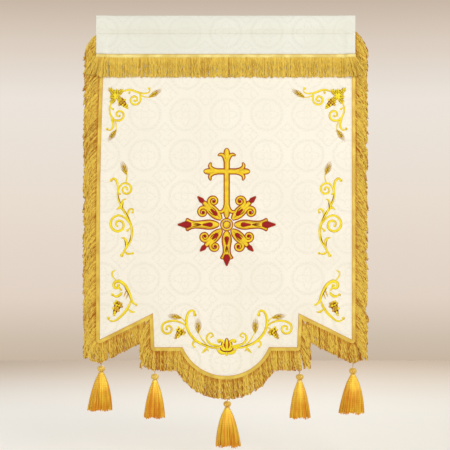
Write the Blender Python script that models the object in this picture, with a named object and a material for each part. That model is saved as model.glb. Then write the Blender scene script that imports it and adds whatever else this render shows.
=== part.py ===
"""Processional church banner: an ivory brocade cloth under a folded rod sleeve, edged with gold fringe.

Metres, +Z up. The embroidered face looks towards -Y. The origin is the middle of the top edge, in the
middle of the cloth's thickness, where the cross bar carries the banner.

Left is -X. Names of the lower edge, from a side to the middle: the tail is the slanting edge, the step is the
upright one beside it, the ledge is the short level one, and the apron is the round one in the middle.
"""

import math

import bmesh
import bpy
from mathutils import Vector

# Cloth
CLOTH = 0.0020
SLEEVE_CLOTH = 0.0015
GAP = 0.0003
BACK_LEG = 0.030

# Rod sleeve
SLEEVE_WIDTH = 0.724
POCKET_HEIGHT = 0.050
FLAP_BOTTOM = -0.107
POCKET_DEPTH = 0.0072

# The field is the cloth that shows between the tapes. Its lower edge, for the right half.
FIELD_HALF = 0.353
CLOTH_TOP = -0.045
TAIL_Z = -0.907
NOTCH_X, NOTCH_Z = 0.204, -0.833
LEDGE_X, LEDGE_Z = 0.200, -0.928
APRON_HALF = 0.1205
APRON_DROP = 0.0805

# The left half leans in towards its top. The threads of its fringe follow it less and less towards their tips.
LEAN = 0.0095
LEAN_FROM, LEAN_TO = 0.18, 0.66
LEAN_OF_ROWS = (1.0, 1.0, 0.6, 0.2)

# Slow waves of the hanging cloth
WAVE_DEPTH = 0.0016
WAVE_LENGTH = 0.52
RIPPLE_DEPTH = 0.0007
RIPPLE_LENGTH = 0.31
WAVE_FULL_AT = 0.90
PANEL_GRID = 0.0437

# Fringe: a woven tape with a skirt of twisted threads
TAPE_WIDTH = 0.014
TAPE_THICK = 0.0018
HEM_INSET = 0.001
SKIRT = 0.050
SKIRT_FRONT = 0.0058
PITCH = 0.0175
TOOTH_SHARE = 0.80
SIDE_REACH = {-1: 0.033, 1: 0.029}
STEP_REACH = 0.022
APRON_FAN = 0.12
TOP_FRINGE_Z = -0.1078
TOP_FRINGE_HALF = 0.363
TOP_FAN = 0.031
OVER_SIDE_TAPES = 0.0072
FLAP_OVER_TAPES = 0.0034
RISE_FROM, RISE_TO = 0.328, 0.342

# Tassels: sewn is where the cord is caught on the back of the cloth.
CORD_RADIUS = 0.0010
CORD_Y = CLOTH / 2 + GAP + 0.0014
CORD_POINT_EVERY = 0.005
KNOB_RADIUS = 0.0102
KNOB_HEIGHT = 0.0175
NECK_RADIUS = 0.0058
COLLAR_RADIUS = 0.0078
COLLAR_HEIGHT = 0.0042
TASSEL_DEPTH_SHARE = 0.78
TASSELS = (
    # name, x, sewn_z, cord, length, spread, sway
    ("far_left", -0.3490, -0.914, 0.066, 0.1230, 0.0335, -0.0040),
    ("mid_left", -0.1985, -0.936, 0.066, 0.1215, 0.0288, -0.0010),
    ("centre", 0.0040, -1.013, 0.066, 0.1250, 0.0342, 0.0030),
    ("mid_right", 0.2070, -0.936, 0.067, 0.1215, 0.0284, 0.0010),
    ("far_right", 0.3560, -0.914, 0.072, 0.1250, 0.0348, -0.0040),
)

APRON_RADIUS = (APRON_HALF**2 + APRON_DROP**2) / (2 * APRON_DROP)
APRON_Z = LEDGE_Z - APRON_DROP + APRON_RADIUS

FRONT = -CLOTH / 2
TAPE_BACK = FRONT - GAP
TAPE_FRONT = TAPE_BACK - TAPE_THICK


# ---------------------------------------------------------------- shape of the hanging cloth


def smooth(value, low, high):
    """0 below low, 1 above high, with an even S between."""
    share = min(max((value - low) / (high - low), 0.0), 1.0)
    return share * share * (3 - 2 * share)


def drape(x, z):
    """How far the cloth hangs behind its own plane. The rod holds the top edge straight."""
    hang = min(max(-z / WAVE_FULL_AT, 0.0), 1.2)
    wave = WAVE_DEPTH * math.sin(2 * math.pi * x / WAVE_LENGTH + 0.6)
    ripple = RIPPLE_DEPTH * math.sin(2 * math.pi * (x + 0.25 * z) / RIPPLE_LENGTH)
    return hang * (wave + ripple)


def lean(x, z):
    """How far a point of the left half stands in from its straight place."""
    share = min(max((LEAN_TO + z) / (LEAN_TO - LEAN_FROM), 0.0), 1.0)
    return LEAN * share * share * max(0.0, -x / FIELD_HALF)


def hung(x, y, z, follow=1.0):
    """A point of the flat pattern, as it hangs. follow is how much of the lean it takes."""
    return Vector((x + follow * lean(x, z), y + drape(x, z), z))


# ---------------------------------------------------------------- outline of the field and the tapes


def flat(x, z):
    return Vector((x, z))


def normal_of(start, end):
    """The outward normal of an edge that is walked with the cloth on its left."""
    along = (end - start).normalized()
    return flat(along.y, -along.x)


def mitre(corner, first, second, width):
    """Where two edges meet once both have moved out by width."""
    return corner + (first + second) * (width / (1 + first.dot(second)))


TAIL = flat(-FIELD_HALF, TAIL_Z)
NOTCH = flat(-NOTCH_X, NOTCH_Z)
LEDGE = flat(-LEDGE_X, LEDGE_Z)
APRON = flat(-APRON_HALF, LEDGE_Z)
APRON_CENTRE = flat(0, APRON_Z)
SIDE_OUT = flat(-1, 0)
TAIL_OUT = normal_of(TAIL, NOTCH)
STEP_OUT = normal_of(NOTCH, LEDGE)
LEDGE_OUT = flat(0, -1)


def turned(first, second, share):
    """A unit vector part of the way round from first to second."""
    start = math.atan2(first.y, first.x)
    sweep = math.remainder(math.atan2(second.y, second.x) - start, 2 * math.pi)
    angle = start + sweep * share
    return flat(math.cos(angle), math.sin(angle))


def apron_half_angle(width):
    """Half the angle of the apron's arc, moved out by width, between the two ledges."""
    return math.acos((APRON_Z - LEDGE_Z + width) / (APRON_RADIUS + width))


def apron_point(width, share):
    """A point of the apron's arc, from the left ledge at share 0 to the right one at 1."""
    if width == 0:
        half = math.asin(APRON_HALF / APRON_RADIUS)
    else:
        half = apron_half_angle(width)
    angle = half * (2 * share - 1)
    return APRON_CENTRE + flat(math.sin(angle), -math.cos(angle)) * (APRON_RADIUS + width)


def cloth_outline(width, corner_steps, arc_steps):
    """The cloth's cut edge, width outside the field, from the top left corner round to the top right one."""
    left = [flat(-FIELD_HALF - width, CLOTH_TOP)]
    for step in range(corner_steps + 1):
        left.append(TAIL + turned(SIDE_OUT, TAIL_OUT, step / corner_steps) * width)
    left.append(mitre(NOTCH, TAIL_OUT, STEP_OUT, width))
    for step in range(corner_steps + 1):
        left.append(LEDGE + turned(STEP_OUT, LEDGE_OUT, step / corner_steps) * width)
    right = [flat(-point.x, point.y) for point in reversed(left)]
    arc = [apron_point(width, step / arc_steps) for step in range(arc_steps + 1)]
    return left + arc + right


# ---------------------------------------------------------------- Blender helpers


def clear_scene():
    for obj in list(bpy.data.objects):
        bpy.data.objects.remove(obj)


def material(name, colour, roughness, metallic=0.0):
    made = bpy.data.materials.new(name)
    made.use_nodes = True
    shader = made.node_tree.nodes["Principled BSDF"]
    shader.inputs["Base Color"].default_value = (*colour, 1)
    shader.inputs["Roughness"].default_value = roughness
    shader.inputs["Metallic"].default_value = metallic
    return made


def add_object(name, data, finish, parent):
    """Links an object of this mesh or curve, with its material and parent."""
    obj = bpy.data.objects.new(name, data)
    if not data.materials:
        data.materials.append(finish)
    bpy.context.scene.collection.objects.link(obj)
    obj.parent = parent
    return obj


def mesh_of(name, shape, smooth_angle=math.radians(40)):
    """The finished mesh of a bmesh, shaded smooth but for its sharp edges."""
    bmesh.ops.recalc_face_normals(shape, faces=shape.faces)
    mesh = bpy.data.meshes.new(name)
    shape.to_mesh(mesh)
    shape.free()
    mesh.shade_smooth()
    mesh.set_sharp_from_angle(angle=smooth_angle)
    return mesh


def ring_loft(rings, cap=True):
    """A bmesh skin over a list of rings of points, with the two end rings filled."""
    shape = bmesh.new()
    made = [[shape.verts.new(point) for point in ring] for ring in rings]
    for low, high in zip(made, made[1:]):
        for i in range(len(low)):
            j = (i + 1) % len(low)
            shape.faces.new((low[i], low[j], high[j], high[i]))
    if cap:
        shape.faces.new(made[0])
        shape.faces.new(made[-1])
    return shape


# ---------------------------------------------------------------- panel


def build_panel(finish, parent):
    """The brocade cloth: its outline cut by a grid of lines, hung, and given its thickness."""
    shape = bmesh.new()
    outline = cloth_outline(TAPE_WIDTH - HEM_INSET, corner_steps=4, arc_steps=18)
    shape.faces.new([shape.verts.new((point.x, 0, point.y)) for point in outline])
    columns = [step * PANEL_GRID for step in range(-8, 9)]
    rows = [CLOTH_TOP - step * PANEL_GRID for step in range(1, 23)]
    cuts = [((x, 0, 0), (1, 0, 0)) for x in columns] + [((0, 0, z), (0, 0, 1)) for z in rows]
    for place, direction in cuts:
        everything = shape.verts[:] + shape.edges[:] + shape.faces[:]
        bmesh.ops.bisect_plane(shape, geom=everything, plane_co=place, plane_no=direction, dist=1e-6)
    for vert in shape.verts:
        vert.co = hung(*vert.co)
    bmesh.ops.triangulate(shape, faces=shape.faces)
    front = shape.faces[:]
    made = bmesh.ops.extrude_face_region(shape, geom=front, use_keep_orig=True)
    back = [item for item in made["geom"] if isinstance(item, bmesh.types.BMVert)]
    bmesh.ops.translate(shape, verts=back, vec=(0, CLOTH, 0))
    bmesh.ops.translate(shape, verts=shape.verts[:], vec=(0, -CLOTH / 2, 0))
    return add_object("banner_panel", mesh_of("banner_panel", shape), finish, parent)


# ---------------------------------------------------------------- rod sleeve


def sleeve_line(x):
    """Centre line of the folded strip at x, from the flap's lower edge over the top to the back leg's end."""
    over = FLAP_OVER_TAPES * smooth(abs(x), RISE_FROM, RISE_TO)
    front = FRONT - GAP - SLEEVE_CLOTH / 2 - over
    back = -FRONT + GAP + SLEEVE_CLOTH / 2
    belly = POCKET_DEPTH * (1 + 0.08 * math.sin(2 * math.pi * x / 0.41))
    walls = (
        # height over the seam as a share, depth as a share
        (0.00, 0.00),
        (0.10, 0.34),
        (0.24, 0.78),
        (0.45, 1.00),
        (0.68, 0.98),
        (0.86, 0.72),
        (0.96, 0.38),
    )
    crown = -SLEEVE_CLOTH / 2
    seam = -POCKET_HEIGHT
    line = [(front, FLAP_BOTTOM), (front, seam - 0.006)]
    for height, depth in walls:
        line.append((front * (1 - depth) - belly * depth, seam + (crown - seam) * height))
    line.append((0.0, crown))
    for height, depth in reversed(walls):
        line.append((back * (1 - depth) + belly * depth, seam + (crown - seam) * height))
    line.append((back, seam - BACK_LEG))
    return [Vector(point) for point in line]


def strip_section(line, thickness):
    """The closed outline of a strip of this thickness along a line in the Y-Z plane."""
    outer, inner = [], []
    for i, point in enumerate(line):
        before = (point - line[i - 1]).normalized() if i else None
        after = (line[i + 1] - point).normalized() if i + 1 < len(line) else None
        along = before or after
        if before and after:
            along = (before + after).normalized()
        side = Vector((-along.y, along.x)) * (thickness / 2)
        if before and after:
            side /= math.sqrt((1 + before.dot(after)) / 2)
        outer.append(point + side)
        inner.append(point - side)
    return outer + inner[::-1]


def build_sleeve(finish, parent):
    """One strip of brocade folded over the top: flap in front, short leg behind, tunnel between."""
    half = SLEEVE_WIDTH / 2
    stations = [-half, -0.352, -RISE_TO, -0.335, -RISE_FROM]
    stations += [step * 0.082 for step in range(-3, 4)]
    stations += [RISE_FROM, 0.335, RISE_TO, 0.352, half]
    rings = []
    for x in stations:
        section = strip_section(sleeve_line(x), SLEEVE_CLOTH)
        rings.append([Vector((x, y + drape(x, z), z)) for y, z in section])
    return add_object("rod_sleeve", mesh_of("rod_sleeve", ring_loft(rings)), finish, parent)


# ---------------------------------------------------------------- fringe


def comb(columns, has_tooth):
    """One closed solid of a tape with a row of teeth.

    A column holds the front and back points of each row, from the tape's inner edge to the tooth's tip. The
    first row of cells is the tape, and the others exist only where has_tooth says that a tooth hangs.
    """
    shape = bmesh.new()
    verts = [[(shape.verts.new(f), shape.verts.new(b)) for f, b in column] for column in columns]
    rows = len(columns[0]) - 1
    cells = {(c, r) for c, tooth in enumerate(has_tooth) for r in range(rows) if tooth or r == 0}
    for c, r in cells:
        corners = (verts[c][r], verts[c + 1][r], verts[c + 1][r + 1], verts[c][r + 1])
        shape.faces.new([front for front, _ in corners])
        shape.faces.new([back for _, back in reversed(corners)])
        sides = (((c, r - 1), 0, 1), ((c + 1, r), 1, 2), ((c, r + 1), 2, 3), ((c - 1, r), 3, 0))
        for neighbour, i, j in sides:
            if neighbour not in cells:
                (fi, bi), (fj, bj) = corners[i], corners[j]
                shape.faces.new((fi, bi, bj, fj))
    loose = [vert for vert in shape.verts if not vert.link_faces]
    bmesh.ops.delete(shape, geom=loose, context="VERTS")
    bmesh.ops.remove_doubles(shape, verts=shape.verts, dist=2e-5)
    return shape


def comb_stations(length):
    """Shares of a run at which its columns stand, and whether a tooth hangs after each."""
    count = max(1, round(length / PITCH))
    shares, teeth = [], []
    for i in range(count):
        shares += [i / count, (i + TOOTH_SHARE) / count]
        teeth += [True, False]
    shares.append(1.0)
    return shares, teeth


def fringe_column(inner, outer, tip, bow, front):
    """Front and back points of one column, in the flat pattern. bow bends the threads away from a straight line."""
    middle = outer.lerp(tip, 0.45) + bow
    rows = ((inner, TAPE_FRONT), (outer, TAPE_FRONT), (middle, -front), (tip, -front))
    return [
        (hung(point.x, y, point.y, follow), hung(point.x, TAPE_BACK, point.y, follow))
        for (point, y), follow in zip(rows, LEAN_OF_ROWS)
    ]


def run_columns(legs, mirrored):
    """Columns and teeth of a run. A leg is (length, at), and at(share) gives inner, outer, tip and bow."""
    columns, teeth = [], []
    for number, (length, at) in enumerate(legs):
        shares, has_tooth = comb_stations(length)
        first = 1 if number else 0
        for share in shares[first:]:
            inner, outer, tip, bow, front = at(share)
            if mirrored:
                inner, outer, tip, bow = (flat(-p.x, p.y) for p in (inner, outer, tip, bow))
            columns.append(fringe_column(inner, outer, tip, bow, front))
        teeth += has_tooth
    return columns, teeth


def straight_leg(inner_ends, outer_ends, hang, bow, front=SKIRT_FRONT, trim=(GAP / 2, GAP / 2)):
    """A straight stretch of tape. trim is what it stops short of its corner at either end."""
    length = (outer_ends[1] - outer_ends[0]).length
    low, high = trim[0] / length, 1 - trim[1] / length

    def at(share):
        place = low + (high - low) * share
        outer = outer_ends[0].lerp(outer_ends[1], place)
        return inner_ends[0].lerp(inner_ends[1], place), outer, outer + hang, bow, front

    return length, at


def corner_leg(corner, first, second, first_hang, second_hang, bow, front):
    """A stretch of tape eased round an outward corner, whose threads fan from one hang to the other."""
    sweep = first.angle(second)
    end = 1 - GAP / 2 / (TAPE_WIDTH * sweep)

    def at(share):
        place = share * end
        outer = corner + turned(first, second, place) * TAPE_WIDTH
        hang = turned(first_hang, second_hang, place) * SKIRT
        depth = front[0] + (front[1] - front[0]) * place
        return corner + turned(first, second, place) * GAP, outer, outer + hang, bow * (1 - place), depth

    return (TAPE_WIDTH + SKIRT * 0.6) * sweep, at


def drooping(reach):
    """The hang of a thread that stands out from an upright tape and sinks under its own weight."""
    return flat(-reach, -math.sqrt(SKIRT**2 - reach**2) * 0.97)


def fringe_runs(side):
    """Legs of each run of one half. They are worked out for the left half, and side 1 mirrors them."""
    straight_down = flat(0, -SKIRT)
    none = flat(0, 0)
    pile = SKIRT_FRONT + 0.002
    side_hang, step_hang = drooping(SIDE_REACH[side]), drooping(STEP_REACH)
    lift = flat(-0.003, 0.006)
    notch_out = mitre(NOTCH, TAIL_OUT, STEP_OUT, TAPE_WIDTH)
    ledge_end = mitre(APRON, LEDGE_OUT, (APRON - APRON_CENTRE).normalized(), TAPE_WIDTH)
    side_top = flat(-FIELD_HALF, CLOTH_TOP)
    tail_start = TAIL + TAIL_OUT * TAPE_WIDTH
    ledge_start = LEDGE + LEDGE_OUT * TAPE_WIDTH
    side_leg = straight_leg(
        (side_top, TAIL),
        (side_top + SIDE_OUT * TAPE_WIDTH, TAIL + SIDE_OUT * TAPE_WIDTH),
        side_hang, lift, pile, trim=(0, 0),
    )
    step_leg = straight_leg(
        (NOTCH, LEDGE), (notch_out, LEDGE + STEP_OUT * TAPE_WIDTH), step_hang, lift, pile, trim=(GAP / 2, 0)
    )
    depths = (pile, SKIRT_FRONT)
    return {
        "side": [side_leg, corner_leg(TAIL, SIDE_OUT, TAIL_OUT, side_hang, straight_down, lift, depths)],
        "tail": [straight_leg((TAIL, NOTCH), (tail_start, notch_out), straight_down, none)],
        "step": [step_leg, corner_leg(LEDGE, STEP_OUT, LEDGE_OUT, step_hang, straight_down, lift, depths)],
        "ledge": [straight_leg((LEDGE, APRON), (ledge_start, ledge_end), straight_down, none)],
    }


def clear_of_step(columns, teeth, limit):
    """Drops the teeth whose threads would hang into the next run's, beyond x = limit from the middle."""
    kept = []
    for number, tooth in enumerate(teeth):
        nearest = min(abs(columns[number][1][0].x), abs(columns[number + 1][1][0].x))
        kept.append(tooth and nearest >= limit)
    return kept


def build_edge_fringe(finish, parent):
    """The fringe of the sides and of the lower edge, a node for each run between two mitres."""
    tail_limit = NOTCH_X + TAPE_WIDTH + STEP_REACH + 0.003
    ledge_limit = APRON_HALF + TAPE_WIDTH + 0.005
    limits = {"tail": tail_limit, "ledge": ledge_limit}
    for word, side in (("left", -1), ("right", 1)):
        for run, legs in fringe_runs(side).items():
            columns, teeth = run_columns(legs, mirrored=side > 0)
            if run in limits:
                teeth = clear_of_step(columns, teeth, limits[run])
            name = f"fringe_{run}_{word}"
            add_object(name, mesh_of(name, comb(columns, teeth)), finish, parent)


def build_apron_fringe(finish, parent):
    """The fringe of the round apron, whose threads fan out a little."""
    half = apron_half_angle(TAPE_WIDTH)
    radius = APRON_RADIUS + TAPE_WIDTH
    trim = GAP / (2 * half * radius)
    shares, teeth = comb_stations(2 * half * radius)
    columns = []
    for share in shares:
        place = trim + (1 - 2 * trim) * share
        inner, outer = apron_point(0, place), apron_point(TAPE_WIDTH, place)
        angle = APRON_FAN * half * (2 * place - 1)
        tip = outer + flat(math.sin(angle), -math.cos(angle)) * SKIRT
        columns.append(fringe_column(inner, outer, tip, flat(0, 0), SKIRT_FRONT))
    add_object("fringe_apron", mesh_of("fringe_apron", comb(columns, teeth)), finish, parent)


def build_top_fringe(finish, parent):
    """The level fringe under the flap. Its ends lie over the side tapes, and their threads spread."""
    shares, teeth = comb_stations(2 * TOP_FRINGE_HALF)
    columns = []
    for share in shares:
        x = TOP_FRINGE_HALF * (2 * share - 1)
        spread = TOP_FAN * smooth(abs(x), TOP_FRINGE_HALF - 0.034, TOP_FRINGE_HALF + 0.004)
        rise = OVER_SIDE_TAPES * smooth(abs(x), RISE_FROM, RISE_TO)
        inner, outer = flat(x, TOP_FRINGE_Z), flat(x, TOP_FRINGE_Z - TAPE_WIDTH)
        tip = outer + flat(math.copysign(spread, x), -math.sqrt(SKIRT**2 - spread**2))
        rows = ((inner, TAPE_FRONT), (outer, TAPE_FRONT), (tip, -SKIRT_FRONT))
        column = [
            (
                Vector((point.x, y - rise + drape(point.x, point.y), point.y)),
                Vector((point.x, TAPE_BACK - rise + drape(point.x, point.y), point.y)),
            )
            for point, y in rows
        ]
        columns.append(column)
    add_object("fringe_top", mesh_of("fringe_top", comb(columns, teeth)), finish, parent)


# ---------------------------------------------------------------- tassels


def turned_ring(radius, z, sides, depth_share=1.0, shift=0.0):
    """A level ring of points round the tassel's own axis."""
    points = []
    for side in range(sides):
        angle = 2 * math.pi * side / sides
        points.append((shift + radius * math.cos(angle), radius * depth_share * math.sin(angle), z))
    return points


def knob_mesh():
    """The wound ball at the tassel's head, with its top at height 0."""
    rings = []
    for step in range(1, 8):
        angle = math.pi * step / 8
        rings.append(turned_ring(KNOB_RADIUS * math.sin(angle), -KNOB_HEIGHT / 2 * (1 - math.cos(angle)), 16))
    return mesh_of("tassel_knob", ring_loft(rings))


def collar_mesh():
    """The binding round the neck: a short ring with a rounded outer side."""
    bore = NECK_RADIUS + GAP
    profile = (
        # radius, height as a share
        (bore, 0.0),
        (COLLAR_RADIUS - 0.0006, 0.0),
        (COLLAR_RADIUS, 0.3),
        (COLLAR_RADIUS, 0.7),
        (COLLAR_RADIUS - 0.0006, 1.0),
        (bore, 1.0),
    )
    rings = [turned_ring(radius, -COLLAR_HEIGHT * height, 16) for radius, height in profile]
    shape = ring_loft(rings + rings[:1], cap=False)
    bmesh.ops.remove_doubles(shape, verts=shape.verts, dist=1e-6)
    return mesh_of("tassel_collar", shape)


def skirt_mesh(name, length, spread, sway):
    """The bundle of threads: a neck, then a bell that hangs nearly straight at its foot."""
    bell = (
        # drop as a share of the skirt, radius as a share of the spread
        (0.075, 0.27),
        (0.20, 0.46),
        (0.40, 0.66),
        (0.62, 0.82),
        (0.84, 0.94),
        (1.00, 1.00),
    )
    rings = [turned_ring(NECK_RADIUS, 0, 20), turned_ring(NECK_RADIUS, -COLLAR_HEIGHT - 2 * GAP, 20)]
    for drop, share in bell:
        depth = 1 - (1 - TASSEL_DEPTH_SHARE) * drop
        rings.append(turned_ring(spread * share, -length * drop, 20, depth, sway * drop * drop))
    return mesh_of(name, ring_loft(rings))


def cord_curve(name, length):
    """A straight cord from height 0 down, as a curve with a round bevel and filled ends."""
    curve = bpy.data.curves.new(name, "CURVE")
    curve.dimensions = "3D"
    curve.bevel_depth = CORD_RADIUS
    curve.bevel_resolution = 2
    curve.use_fill_caps = True
    count = round(length / CORD_POINT_EVERY) + 1
    spline = curve.splines.new("POLY")
    spline.points.add(count - 1)
    for number, point in enumerate(spline.points):
        point.co = (0, 0, -length * number / (count - 1), 1)
    return curve


def build_tassels(finishes, parent):
    """Each tassel hangs behind the fringe: cord, knob, collar and skirt under one empty."""
    knob, collar = knob_mesh(), collar_mesh()
    for name, x, sewn_z, cord, length, spread, sway in TASSELS:
        hanger = bpy.data.objects.new(f"tassel_{name}", None)
        bpy.context.scene.collection.objects.link(hanger)
        hanger.parent = parent
        hanger.location = (x, CORD_Y + drape(x, sewn_z), sewn_z)
        line = cord_curve(f"tassel_cord_{name}", cord - GAP)
        skirt = skirt_mesh(f"tassel_skirt_{name}", length - KNOB_HEIGHT - GAP, spread, sway)
        pieces = (
            (f"tassel_cord_{name}", line, finishes["cord"], 0.0),
            (f"tassel_knob_{name}", knob, finishes["knob"], cord),
            (f"tassel_collar_{name}", collar, finishes["knob"], cord + KNOB_HEIGHT + 2 * GAP),
            (f"tassel_skirt_{name}", skirt, finishes["skirt"], cord + KNOB_HEIGHT + GAP),
        )
        for piece, data, finish, drop in pieces:
            obj = add_object(piece, data, finish, hanger)
            obj.location.z = -drop


# ---------------------------------------------------------------- banner


def main():
    clear_scene()
    banner = bpy.data.objects.new("banner", None)
    bpy.context.scene.collection.objects.link(banner)
    brocade = material("ivory_brocade", (0.91, 0.87, 0.76), 0.55)
    fringe = material("gold_fringe", (0.72, 0.44, 0.09), 0.45, 0.2)
    finishes = {
        "cord": material("gold_cord", (0.66, 0.40, 0.08), 0.5),
        "knob": material("gold_wrap", (0.80, 0.50, 0.08), 0.35, 0.2),
        "skirt": material("gold_rayon", (0.76, 0.42, 0.04), 0.35, 0.1),
    }
    build_panel(brocade, banner)
    build_sleeve(brocade, banner)
    build_top_fringe(fringe, banner)
    build_edge_fringe(fringe, banner)
    build_apron_fringe(fringe, banner)
    build_tassels(finishes, banner)


main()
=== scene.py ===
"""A processional church banner: ivory brocade, raised gold embroidery, gold fringe and five tassels.

Metres, +Z up, the embroidered face towards -Y. Every new piece is a surface worked out with numpy: rings of points
carried along a path, put into a mesh as whole arrays. Plane points of the flat pattern are (x, z) pairs.
"""

import logging
from dataclasses import dataclass, field
from enum import Enum
from functools import lru_cache

import bpy
import numpy as np
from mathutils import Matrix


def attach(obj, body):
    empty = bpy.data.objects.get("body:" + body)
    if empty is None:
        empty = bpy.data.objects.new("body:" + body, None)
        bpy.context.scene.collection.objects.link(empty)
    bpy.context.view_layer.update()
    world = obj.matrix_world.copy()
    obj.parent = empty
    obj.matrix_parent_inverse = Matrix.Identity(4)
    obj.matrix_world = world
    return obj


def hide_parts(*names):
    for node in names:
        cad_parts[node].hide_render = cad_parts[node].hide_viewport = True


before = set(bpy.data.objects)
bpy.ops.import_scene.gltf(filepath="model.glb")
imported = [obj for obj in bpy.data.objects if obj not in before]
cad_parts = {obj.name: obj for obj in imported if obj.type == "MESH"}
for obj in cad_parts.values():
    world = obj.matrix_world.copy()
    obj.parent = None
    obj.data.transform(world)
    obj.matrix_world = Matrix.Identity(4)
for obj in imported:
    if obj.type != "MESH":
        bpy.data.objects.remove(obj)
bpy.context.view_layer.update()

logging.basicConfig(level=logging.INFO, format="%(message)s")
log = logging.getLogger("banner")

Array = np.ndarray
Socket = bpy.types.NodeSocket
Pair = tuple[float, float]
Colour = tuple[float, float, float]
MM = 0.001
SEED = 20
AXIS = 0.0026


class Slot(Enum):
    """The record's material slots."""

    BROCADE = "ivory_brocade"
    FRINGE = "gold_fringe"
    CORD = "gold_cord"
    WRAP = "gold_wrap"
    RAYON = "gold_rayon"
    GOLD_STITCH = "gold_embroidery"
    RUBY_STITCH = "ruby_embroidery"


def srgb(red: float, green: float, blue: float) -> Colour:
    """Turns a display colour of 0 to 255 into the linear colour that shaders take.

    Args:
        red: Display red.
        green: Display green.
        blue: Display blue.

    Returns:
        The linear colour.
    """
    parts = np.array((red, green, blue)) / 255
    linear = np.where(parts <= 0.04045, parts / 12.92, ((parts + 0.055) / 1.055) ** 2.4)
    return tuple(float(part) for part in linear)


# ---------------------------------------------------------------- surfaces


@dataclass
class Surface:
    """Closed bodies as arrays: points, the corners of their faces, and a shade for each point."""

    points: Array
    quads: Array
    quad_uv: Array
    tris: Array
    tri_uv: Array
    shade: Array

    @staticmethod
    def joined(parts: list["Surface"]) -> "Surface":
        """Puts several surfaces into one.

        Args:
            parts: The surfaces.

        Returns:
            One surface that holds them all.
        """
        starts = np.cumsum([0] + [len(part.points) for part in parts[:-1]])
        return Surface(
            np.concatenate([part.points for part in parts]),
            np.concatenate([part.quads + start for part, start in zip(parts, starts)]),
            np.concatenate([part.quad_uv for part in parts]),
            np.concatenate([part.tris + start for part, start in zip(parts, starts)]),
            np.concatenate([part.tri_uv for part in parts]),
            np.concatenate([part.shade for part in parts]),
        )

    def mapped(self, flat: Array) -> "Surface":
        """Takes the UV of every corner from a flat place given for each point, and returns the surface."""
        self.quad_uv, self.tri_uv = flat[self.quads], flat[self.tris]
        return self

    def turned_out(self) -> "Surface":
        """Turns every face over if the enclosed volume comes out negative.

        Returns:
            The surface itself.
        """
        corners = np.concatenate([self.quads[:, :3], self.quads[:, [0, 2, 3]], self.tris])
        first, second, third = (self.points[corners[:, i]] for i in range(3))
        if np.einsum("ij,ij->", first, np.cross(second, third)) < 0:
            self.quads, self.quad_uv = self.quads[:, ::-1], self.quad_uv[:, ::-1]
            self.tris, self.tri_uv = self.tris[:, ::-1], self.tri_uv[:, ::-1]
        return self


def loft(rings: Array, across: Array, along: Array, shade: Array | float = 0.5) -> Surface:
    """Skins k bodies, each of m rings of n points: quads between rings, and a ladder of quads over each end.

    Args:
        rings: Points, of shape (k, m, n, 3).
        across: The u of each point round a ring and of the first one again, of shape (n + 1,).
        along: The v of each ring, of shape (k, m) or (m,).
        shade: One shade for all, or one for each body as (k, 1) or for each ring as (k, m).

    Returns:
        The closed surface, with its faces outwards.
    """
    k, m, n = rings.shape[:3]
    index = np.arange(k * m * n).reshape(k, m, n)
    after = np.roll(index, -1, axis=2)
    walls = np.stack([index[:, :-1], after[:, :-1], after[:, 1:], index[:, 1:]], -1).reshape(-1, 4)
    v = np.broadcast_to(along, (k, m))
    u = np.broadcast_to(across, (k, m - 1, n + 1))
    low = np.broadcast_to(v[:, :-1, None], (k, m - 1, n))
    high = np.broadcast_to(v[:, 1:, None], (k, m - 1, n))
    corners_u = np.stack([u[..., :-1], u[..., 1:], u[..., 1:], u[..., :-1]], -1)
    corners_v = np.stack([low, low, high, high], -1)
    wall_uv = np.stack([corners_u, corners_v], -1).reshape(-1, 4, 2)
    step = np.arange((n - 2) // 2 if n % 2 == 0 else (n - 3) // 2)
    ladder = np.stack([step, step + 1, n - 2 - step, n - 1 - step], -1)
    first = index[:, 0][:, ladder].reshape(-1, 4)[:, ::-1]
    last = index[:, -1][:, ladder].reshape(-1, 4)
    tris = np.zeros((0, 3), int)
    if n % 2:
        tip = np.array([(n - 3) // 2, (n - 1) // 2, (n + 1) // 2])
        tris = np.concatenate([index[:, 0][:, tip][:, ::-1], index[:, -1][:, tip]])
    quads = np.concatenate([walls, first, last])
    end_uv = np.full((len(first) + len(last), 4, 2), 0.5)
    made = Surface(
        rings.reshape(-1, 3),
        quads,
        np.concatenate([wall_uv, end_uv]),
        tris,
        np.full((len(tris), 3, 2), 0.5),
        np.repeat(np.broadcast_to(shade, (k, m)).astype(float).ravel(), n),
    )
    return made.turned_out()


def lengths_of(path: Array) -> Array:
    """Arc length from the start of each path to each of its points.

    Args:
        path: Points, of shape (..., m, dimensions).

    Returns:
        Lengths, of shape (..., m).
    """
    steps = np.linalg.norm(np.diff(path, axis=-2), axis=-1)
    zero = np.zeros(steps.shape[:-1] + (1,))
    return np.concatenate([zero, np.cumsum(steps, axis=-1)], axis=-1)


def tubes(
    paths: Array, radius: Array | float, sides: int, shade: Array | float = 0.5,
    away: tuple[float, float, float] = (0.0, 1.0, 0.0),
) -> Surface:
    """Round threads: a circle in the plane across each path.

    Args:
        paths: Centre lines, of shape (k, m, 3).
        radius: One radius, or one for each ring of each path.
        sides: Points round a thread.
        shade: One shade for all, or one for each thread as (k, 1) or for each ring as (k, m).
        away: A direction in which no path runs.

    Returns:
        The threads as one surface. v is in metres.
    """
    tangent = np.gradient(paths, axis=1)
    tangent /= np.linalg.norm(tangent, axis=-1, keepdims=True)
    side = np.cross(tangent, away)
    side /= np.linalg.norm(side, axis=-1, keepdims=True)
    front = np.cross(side, tangent)
    angle = np.arange(sides) * 2 * np.pi / sides
    spokes = np.cos(angle)[:, None] * side[..., None, :] + np.sin(angle)[:, None] * front[..., None, :]
    reach = np.broadcast_to(radius, paths.shape[:2])[..., None, None]
    rings = paths[:, :, None] + reach * spokes
    return loft(rings, np.linspace(0, 1, sides + 1), lengths_of(paths), shade)


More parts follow.
